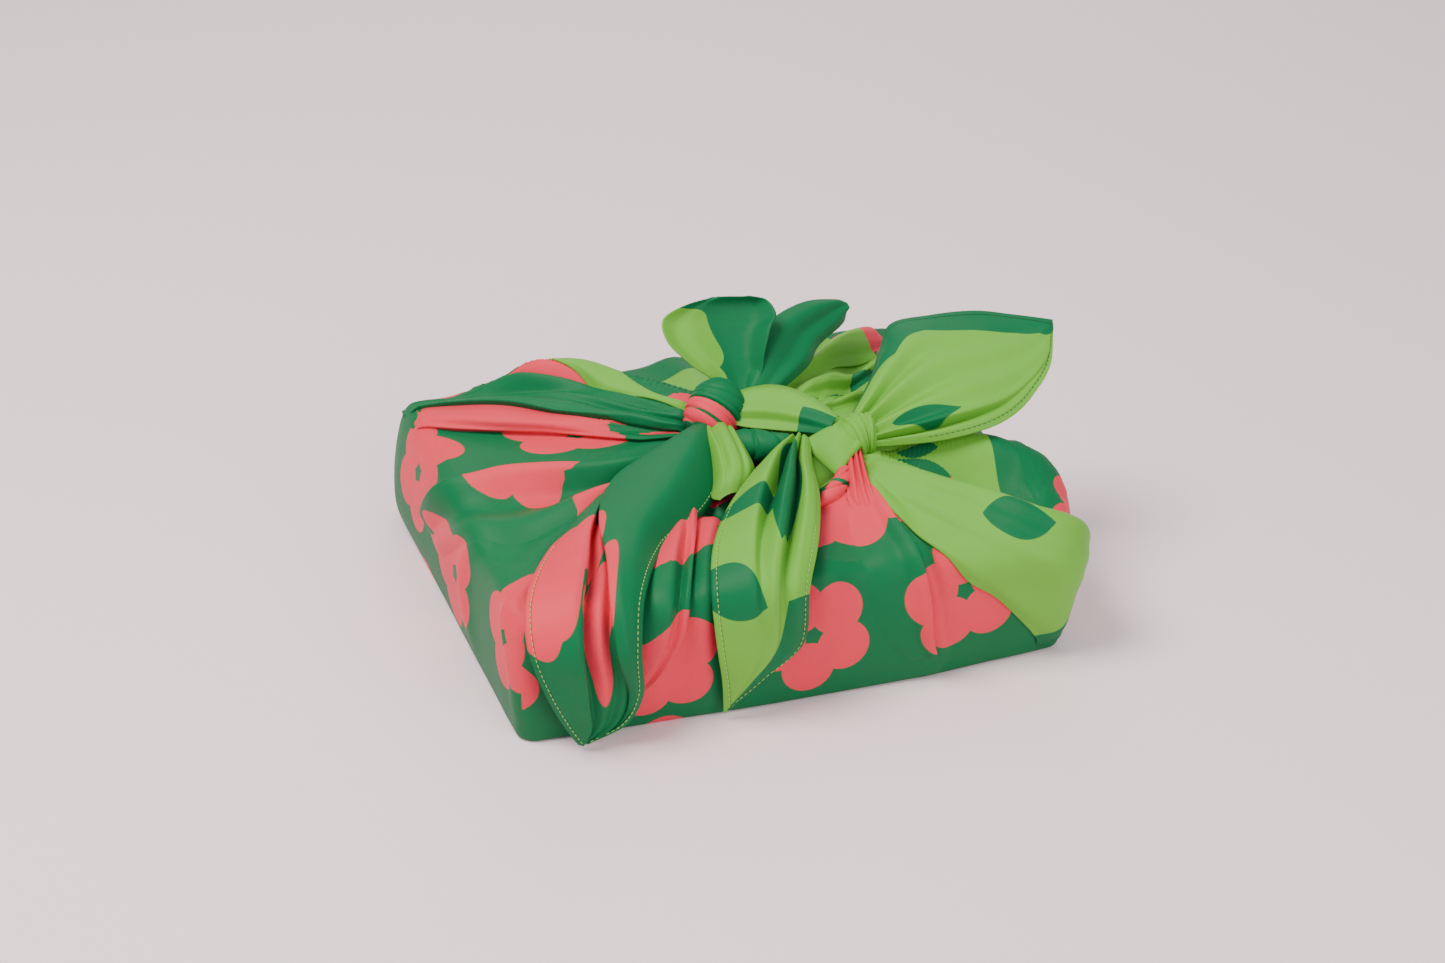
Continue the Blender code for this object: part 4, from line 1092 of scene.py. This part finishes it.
TAILS = {
    "front_left_tail": {
        "rows": [
            (-14, 6, 102, -4, 2, 104, 2),
            (-40, -2, 96, -10, -18, 103, 4),
            (-68, -16, 93, -18, -40, 99, 5),
            (-96, -42, 92, -34, -62, 95, 5),
            (-132, -80, 90, -70, -96, 92, 4),
            (-156, -118, 88, -94, -138, 88, 3),
            (-164, -142, 74, -102, -155, 64, 3),
            (-158, -149, 48, -101, -155, 36, 2),
            (-146, -150, 20, -110, -153, 15, 1),
            (-137, -150, 4, -131, -150, 4, 0),
        ],
        "rails": [
            ([0.0], [0, 0, 0, 0.5, 1, 1, 0]),
            ([0.02, 0.04, 0.06, 0.20, 0.25, 0.25, 0.25], [1, 2, 3, 4, 5, 3, 1]),
            ([0.04, 0.06, 0.10, 0.38, 0.42, 0.38, 0.40], [1, 2, 3, 7, 8, 5, 2]),
            ([0.05, 0.08, 0.13, 0.46, 0.485, 0.43, 0.45], [1, 2, 3, 5, 6, 4, 1.5]),
            ([0.05, 0.08, 0.12, 0.44, 0.47, 0.47, 0.50], [0, -1, -3, -8, -8, -4, 0]),
            ([0.06, 0.09, 0.14, 0.58, 0.64, 0.62, 0.60], [0, -1, -2, -3, 0, 0, 1]),
            ([0.07, 0.10, 0.15, 0.64, 0.74, 0.74, 0.70], [-1, -2, -3, -7, -7, -3, 0]),
            ([0.07, 0.10, 0.15, 0.66, 0.79, 0.82, 0.80], [-1, -2, -3, -5, -3, 0, 1]),
            ([0.04, 0.05, 0.16, 0.64, 0.80, 0.90, 0.86], [-1, -1, 0, 0, 0, -1, 0.5]),
            ([0.0, 0.0, 0.10, 0.60, 0.765, 0.88, 0.86], [2, 3, 5, 6, 5, 1, 0.5]),
            ([0.3, 0.3, 0.35, 0.72, 0.86, 0.93, 0.93], [4, 6, 7, 8, 7, 3, 1]),
            ([0.68, 0.72, 0.74, 0.86, 0.94, 0.97, 0.97], [4, 8, 9, 6, 5, 2, 0.5]),
            ([1.0], [0, -8, -9, -2, 3, 2, 0]),
        ],
        "pink ovals": [
            # share along, across, half length, half width, lean
            (0.54, 0.20, 34, 17, 8),
            (0.46, 0.34, 20, 10, 20),
            (0.62, 0.12, 24, 13, 0),
            (0.66, 0.62, 46, 7, 0),
            (0.58, 0.62, 30, 9, 0),
        ],
        "hems": [("left", 0.45, 0.985), ("right", 0.10, 0.985)],
        "thread": "light green thread",
        "flat": (0.100, 0.275),
        "area": 0.0214,
    },
    "front_right_tail": {
        "rows": [
            (30, -24, 102, 42, -32, 104, 2),
            (14, -38, 102, 34, -56, 104, 3),
            (-4, -54, 100, 28, -84, 102, 4),
            (-28, -82, 97, 18, -112, 98, 4),
            (-46, -112, 93, 8, -134, 93, 4),
            (-57, -142, 84, -2, -150, 80, 4),
            (-56, -150, 54, -4, -149, 46, 3),
            (-52, -149, 28, -24, -149, 28, 2),
            (-50, -147, 5, -46, -147, 8, 0),
        ],
        "rails": [
            ([0.0], [0]),
            ([0.15, 0.15, 0.18, 0.20, 0.20, 0.20, 0.20], [2, 5, 6, 4, 3, 2, 0]),
            ([0.30, 0.32, 0.36, 0.40, 0.40, 0.35, 0.30], [3, 8, 10, 8, 6, 3, 0]),
            ([0.40, 0.42, 0.44, 0.46, 0.48, 0.45, 0.45], [0, -4, -4, 1, 4, 2, 0]),
            ([0.46, 0.48, 0.50, 0.52, 0.52, 0.48, 0.48], [1, 2, 1, 3, 5, 2, 0]),
            ([0.56, 0.58, 0.60, 0.62, 0.58, 0.55, 0.55], [4, 8, 10, 9, 7, 3, 0.5]),
            ([0.62, 0.64, 0.67, 0.68, 0.64, 0.60, 0.60], [3, 7, 8, 8, 6, 3, 0.5]),
            ([0.62, 0.65, 0.68, 0.70, 0.70, 0.68, 0.70], [0, -6, -8, -5, 0, 1, 0]),
            ([0.76, 0.80, 0.84, 0.84, 0.84, 0.84, 0.85], [3, 4, 5, 5, 4, 2, 0.5]),
            ([0.90, 0.92, 0.93, 0.93, 0.93, 0.93, 0.93], [2, 2, 3, 3, 3, 2, 0.5]),
            ([1.0], [0, -1, -1, 0, 1, 1, 0]),
        ],
        "light": [(0, -1, 2), (0.60, -1, 2), (0.64, -1, 0.78), (0.80, -1, 0.62), (1, -1, 0.5)],
        "dark leaves": [
            (0.36, 0.30, 24, 8, -62),
            (0.27, 0.60, 52, 8, 4),
            (0.62, 0.16, 22, 13, 72),
        ],
        "hems": [("left", 0.22, 0.985), ("right", 0.40, 0.985)],
        "thread": "light green thread",
        "flat": (0.076, 0.219),
        "area": 0.0125,
    },
    "right_leaf_tail": {
        "rows": [
            (66, -30, 112, 68, -44, 102, 2),
            (88, -6, 124, 90, -52, 104, 5),
            (102, 12, 137, 116, -60, 107, 8),
            (113, 22, 146, 142, -62, 111, 8),
            (136, 18, 149, 160, -58, 115, 6),
            (164, 14, 149, 177, -48, 121, 4),
            (187, 8, 146, 195, -32, 130, 2),
            (210, 0, 143, 208, -6, 140, 0),
        ],
        "rails": [
            ([0.0], [-3, -4, -4, -2, 0, 0, 0]),
            ([0.10], [2, 3, 1, 0, 0, 0, 0]),
            ([0.24, 0.25, 0.28, 0.30], [4, 5, 4, 2, 1, 0, 0]),
            ([0.36], [-1, -3, -3, -1, 0, 0, 0]),
            ([0.46, 0.47, 0.50, 0.52], [4, 5, 5, 3, 1, 1, 0]),
            ([0.58, 0.60, 0.62, 0.64], [-1, -4, -3, -1, 0, 0, 0]),
            ([0.68, 0.70, 0.74, 0.76], [3, 4, 5, 3, 2, 1, 0]),
            ([0.78, 0.80, 0.82, 0.84], [0, 0, 2, 2, 1, 1, 0]),
            ([0.86, 0.87, 0.88, 0.88], [4, 5, 6, 4, 2, 1, 0]),
            ([0.87, 0.88, 0.89, 0.89], [-1, -4, -4, -2, 0, 0, 0]),
            ([0.94], [2, 3, 4, 3, 1, 0, 0]),
            ([1.0], [0, 0, 1, 1, 0, 0, 0]),
        ],
        "dark leaves": [(0.27, 0.80, 19, 6, 8)],
        "hems": [("left", 0.55, 0.985), ("right", 0.25, 0.985)],
        # the same light green thread, darkened with painted shade
        "thread": "green thread in painted shade",
        "light": [(0, 0.02, 2), (0.15, 0.10, 2), (0.30, 0.22, 2), (0.5, 0.18, 2), (0.65, 0.25, 2), (0.8, 0.36, 2),
                  (0.9, 0.5, 2), (1, 0.95, 2)],
        "flat": (0.104, 0.153),
        "area": 0.0105,
        "held": "gathered",
    },
    "back_tail_left_lobe": {
        "rows": [
            (4, 20, 108, 14, 12, 108, 2),
            (0, 28, 121, 29, 22, 121, -3),
            (-13, 32, 132, 34, 29, 134, -7),
            (-24, 40, 143, 40, 36, 146, -9),
            (-23, 51, 152, 45, 40, 152, -8),
            (-7, 55, 158, 42, 48, 158, -5),
            (10, 56, 161, 32, 51, 161, 0),
        ],
        "rails": [
            ([0.0], [2, 3, 4, 3, 0]),
            ([0.12], [0, 1, 1, 1, 0]),
            ([0.35, 0.28, 0.20], [1, 4, 3, 1]),
            ([0.55], [0]),
            ([0.80, 0.84], [1, -3, -3, -1]),
            ([1.0], [1, 2, 3, 1, 0]),
        ],
        "light ovals": [(0.52, 0.10, 20, 25, 0), (0.36, 0.04, 20, 12, 0)],
        "flat": (0.076, 0.073),
        "area": 0.0035,
        "held": "gathered",
    },
    "back_tail_right_lobe": {
        "rows": [
            (14, 16, 108, 22, 8, 106, 2),
            (24, 28, 121, 44, 18, 114, 5),
            (34, 42, 133, 64, 32, 118, 7),
            (48, 53, 142, 76, 46, 123, 8),
            (71, 61, 146, 95, 57, 129, 6),
            (93, 66, 142, 99, 60, 135, 2),
            (101, 65, 139, 102, 62, 137, 0),
        ],
        "rails": [
            ([0.0], [0]),
            ([0.25], [1, 2, 1, 0]),
            ([0.60, 0.55], [0, -3, -3, 0]),
            ([0.85], [1, 2, 1, 0]),
            ([1.0], [0]),
        ],
        "flat": (0.041, 0.107),
        "area": 0.0030,
        "held": "gathered",
    },
    "middle_band": {
        "rows": [
            (6, 20, 112, 2, 2, 104, 2),
            (24, 20, 117, 12, -6, 103, 5),
            (40, 12, 119, 26, -13, 103, 6),
            (54, -4, 117, 42, -22, 104, 5),
            (64, -22, 112, 54, -32, 106, 3),
        ],
        "rails": [
            ([0.0], [-1]),
            ([0.25], [2, 3, 2, 1]),
            ([0.5], [0, 1, 0, 1]),
            ([0.72], [2, 3, 2, 1]),
            ([0.82], [0, -1, -1, 0]),
            ([1.0], [1, 2, 1, 0]),
        ],
        "light": [(0, -1, 2), (0.66, -1, 2), (0.70, -1, 0.45), (1, -1, 0.3)],
        "flat": (0.039, 0.070),
    },
    "right_knot_wrap": {
        "rows": [
            (46, -28, 96, 55, -44, 90, 0),
            (39, -28, 100, 49, -58, 93, 0),
            (38, -29, 103, 50, -61, 96, 1),
            (49, -28, 107, 56, -57, 101, 4),
            (62, -25, 110, 62, -53, 104, 4),
            (74, -21, 112, 68, -49, 106, 3),
            (79, -24, 104, 73, -46, 100, 0),
        ],
        "rails": [
            ([0.03], [-3]),
            ([0.0], [-1, -1, 0, 0, 0]),
            ([0.06], [0, 0, 1, 1, 0]),
            ([0.35], [0, 0, 0.5, 0, 1.5]),
            ([0.60], [0, 0, 1.5, 1, 0]),
            ([0.85], [0, 0, 1, 0.5, 1]),
            ([0.97], [0, 0, 1, 1, 0]),
            ([1.0], [-1, -1, 0, 0, -1]),
            ([0.96], [-3]),
        ],
        "light": [(0, -1, 2), (1, -1, 2)],
        "flat": (0.064, 0.066),
    },
    "gather_fan": {
        "rows": [
            (62, -40, 99, 70, -43, 101, 1),
            (56, -55, 98, 66, -60, 99, 1),
            (51, -71, 95, 63, -78, 97, 1),
            (47, -82, 91, 63, -90, 92, 1),
            (49, -92, 84, 64, -102, 85, 0),
        ],
        "rails": [
            ([0.0], [-3, -3, -2, -1]),
            ([0.12], [2, 2, 1, 0]),
            ([0.30], [4, 4, 3, 2]),
            ([0.42], [0, 0, 0.5, 1]),
            ([0.60], [5, 5, 3, 2]),
            ([0.72], [0, 0, 0.5, 1]),
            ([0.88], [4, 4, 2.5, 2]),
            ([1.0], [-3, -3, -2, -1]),
        ],
        "pink ovals": [(0.5, 0.5, 200, 200, 0)],
        "flat": (0.026, 0.062),
    },
    "under_loop": {
        "rows": [
            (-16, 8, 102, 3, -2, 104, 2),
            (-19, 0, 101, 3, -13, 106, 4),
            (-19, -20, 98, 2, -37, 104, 6),
            (-23, -42, 93, 1, -47, 101, 6),
            (-27, -54, 91, -3, -54, 97, 5),
            (-24, -60, 91, -11, -60, 94, 2),
        ],
        "rails": [
            ([0.0], [-2, -3, -2, 0]),
            ([0.2], [1, 1, 1, 0]),
            ([0.36], [2, 3, 3, 2, 0]),
            ([0.44], [0.5, 0.5, 1, 1, 0]),
            ([0.60], [2, 3, 4, 2, 0]),
            ([0.76], [2, 3, 3, 2, 0]),
            ([0.82], [0, -0.5, 0, 1, 0]),
            ([0.93], [1, 2, 2, 1, 0]),
            ([1.0], [-2, -3, -3, -2, 0]),
        ],
        "light": [(0, -1, 2), (1, -1, 2)],
        "flat": (0.037, 0.066),
    },
}
for name, shape in TAILS.items():
    folded_sheet(name, shape, plain_sateen, clear=wrap_surface, steps=150)

# The two knots: each is one corner of the cloth crossed over its neighbour,
# wound round it and pulled tight, so that it shows as a few turns of cloth
# packed round a core. The thin strands between them are pulled the same way.
KNOT_SIDES = 96
KNOT_ROWS = 90
WOUND = {
    "left_knot": {
        # x, y, z, radius
        "stations": [
            (12, 24, 110, 0),
            (8, 21, 110, 12),
            (3, 17, 110, 17),
            (-2, 13, 108, 17.5),
            (-6, 10, 106, 16.5),
            (-10, 7, 104, 15.5),
            (-15, 4, 102, 12),
            (-19, 1, 100, 0),
        ],
        # along, tilt, towards, depth, width
        "creases": [
            (0.22, 0.05, 0.5, 1.6, 0.014),
            (0.31, 0.06, 0.8, 1.2, 0.011),
            (0.40, 0.05, 1.2, 1.0, 0.010),
            (0.50, 0.04, 1.0, 3.0, 0.012),
            (0.60, 0.05, 1.4, 0.7, 0.010),
            (0.70, 0.07, 1.6, 1.6, 0.014),
            (0.82, 0.09, 1.8, 1.5, 0.016),
        ],
        "pink": [(0.50, 0.70), (0.73, 0.84)],
        "light": [],
    },
    "right_knot": {
        "stations": [
            (48, -34, 100, 0),
            (52, -35, 99, 7),
            (58, -36, 100, 10),
            (64, -36, 102, 12),
            (69, -36, 104, 14),
            (74, -36, 105, 13.5),
            (79, -37, 105, 12),
            (84, -38, 105, 0),
        ],
        "creases": [
            (0.48, 0.06, 0.8, 1.4, 0.018),
            (0.58, 0.05, 0.5, 1.2, 0.013),
            (0.66, 0.05, 0.9, 1.5, 0.013),
            (0.74, 0.03, 0.5, 1.0, 0.011),
            (0.82, 0.04, 0.9, 1.4, 0.013),
        ],
        "pink": [],
        "light": [(-1, 2)],
    },
    "cross_roll": {
        "stations": [
            (-4, -6, 100, 0),
            (4, -13, 100, 7.5),
            (12, -19, 99, 10),
            (22, -25, 100, 8.5),
            (32, -27, 101, 6),
            (42, -31, 102, 0),
        ],
        "creases": [
            (0.30, 0.16, 0.4, 1.2, 0.030),
            (0.50, 0.18, 0.8, 1.4, 0.025),
            (0.70, 0.16, 1.2, 1.0, 0.025),
        ],
        "pink": [],
        "light": [],
    },
    "gather_twist": {
        "stations": [
            (58, -53, 97, 0),
            (54, -59, 96, 4.5),
            (49, -67, 95, 5.5),
            (43, -73, 94, 5.5),
            (36, -77, 92, 4.5),
            (27, -80, 88, 0),
        ],
        "creases": [
            (0.30, 0.20, 0.4, 1.4, 0.030),
            (0.55, 0.20, 0.8, 1.6, 0.030),
        ],
        "pink": [(0.0, 0.45), (0.52, 1)],
        "light": [],
    },
}
BAND_TILT = 0.06          # how far a band of the print leans round a knot, and which way
BAND_TOWARDS = 1.2


def wound_cloth(name, shape):
    """A lump of cloth wound round a line, with creases between its turns."""
    share = np.linspace(0, 1, KNOT_ROWS)
    stations = smooth_path(shape["stations"], share)
    line, radii = stations[:, :3], np.maximum(stations[:, 3], 0)
    along = np.gradient(line, axis=0)
    along /= np.linalg.norm(along, axis=1)[:, None]
    sideways = np.cross(along, [0, 0, 1])
    sideways /= np.linalg.norm(sideways, axis=1)[:, None]
    upright = np.cross(sideways, along)
    turn = np.linspace(0, 2 * math.pi, KNOT_SIDES, endpoint=False)
    reach = np.repeat(radii[:, None], KNOT_SIDES, axis=1)
    for at, tilt, towards, depth, width in shape["creases"]:
        middle = at + tilt * np.cos(turn - towards)
        reach -= depth * np.exp(-((share[:, None] - middle) / width) ** 2)
    reach = np.clip(reach, 0, None)
    reach[[0, -1]] = 0
    ring = np.cos(turn)[None, :, None] * sideways[:, None] + np.sin(turn)[None, :, None] * upright[:, None]
    grid = line[:, None] + ring * reach[..., None]
    length = np.concatenate([[0], np.cumsum(np.linalg.norm(np.diff(line, axis=0), axis=1))])
    girth = 2 * math.pi * radii.mean()
    cut = np.stack(np.broadcast_arrays(girth * turn / (2 * math.pi), length[:, None]), -1)
    fields = []
    for bands in (shape["light"], shape["pink"]):
        field = np.full(grid.shape[:2], -FAR)
        for low, high in bands:
            tilted = share[:, None] - BAND_TILT * np.cos(turn - BAND_TOWARDS)
            field = np.maximum(field, np.minimum(tilted - low, high - tilted) * length[-1])
        fields.append(field)
    made = cloth_mesh(name, grid, cut, *fields, loop=girth)
    work = bmesh.new()
    work.from_mesh(made.data)
    bmesh.ops.remove_doubles(work, verts=work.verts, dist=1e-6)
    work.to_mesh(made.data)
    work.free()
    made.data.materials.append(plain_sateen)
    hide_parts("cloth")
    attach(made, "root")


for name, shape in WOUND.items():
    wound_cloth(name, shape)
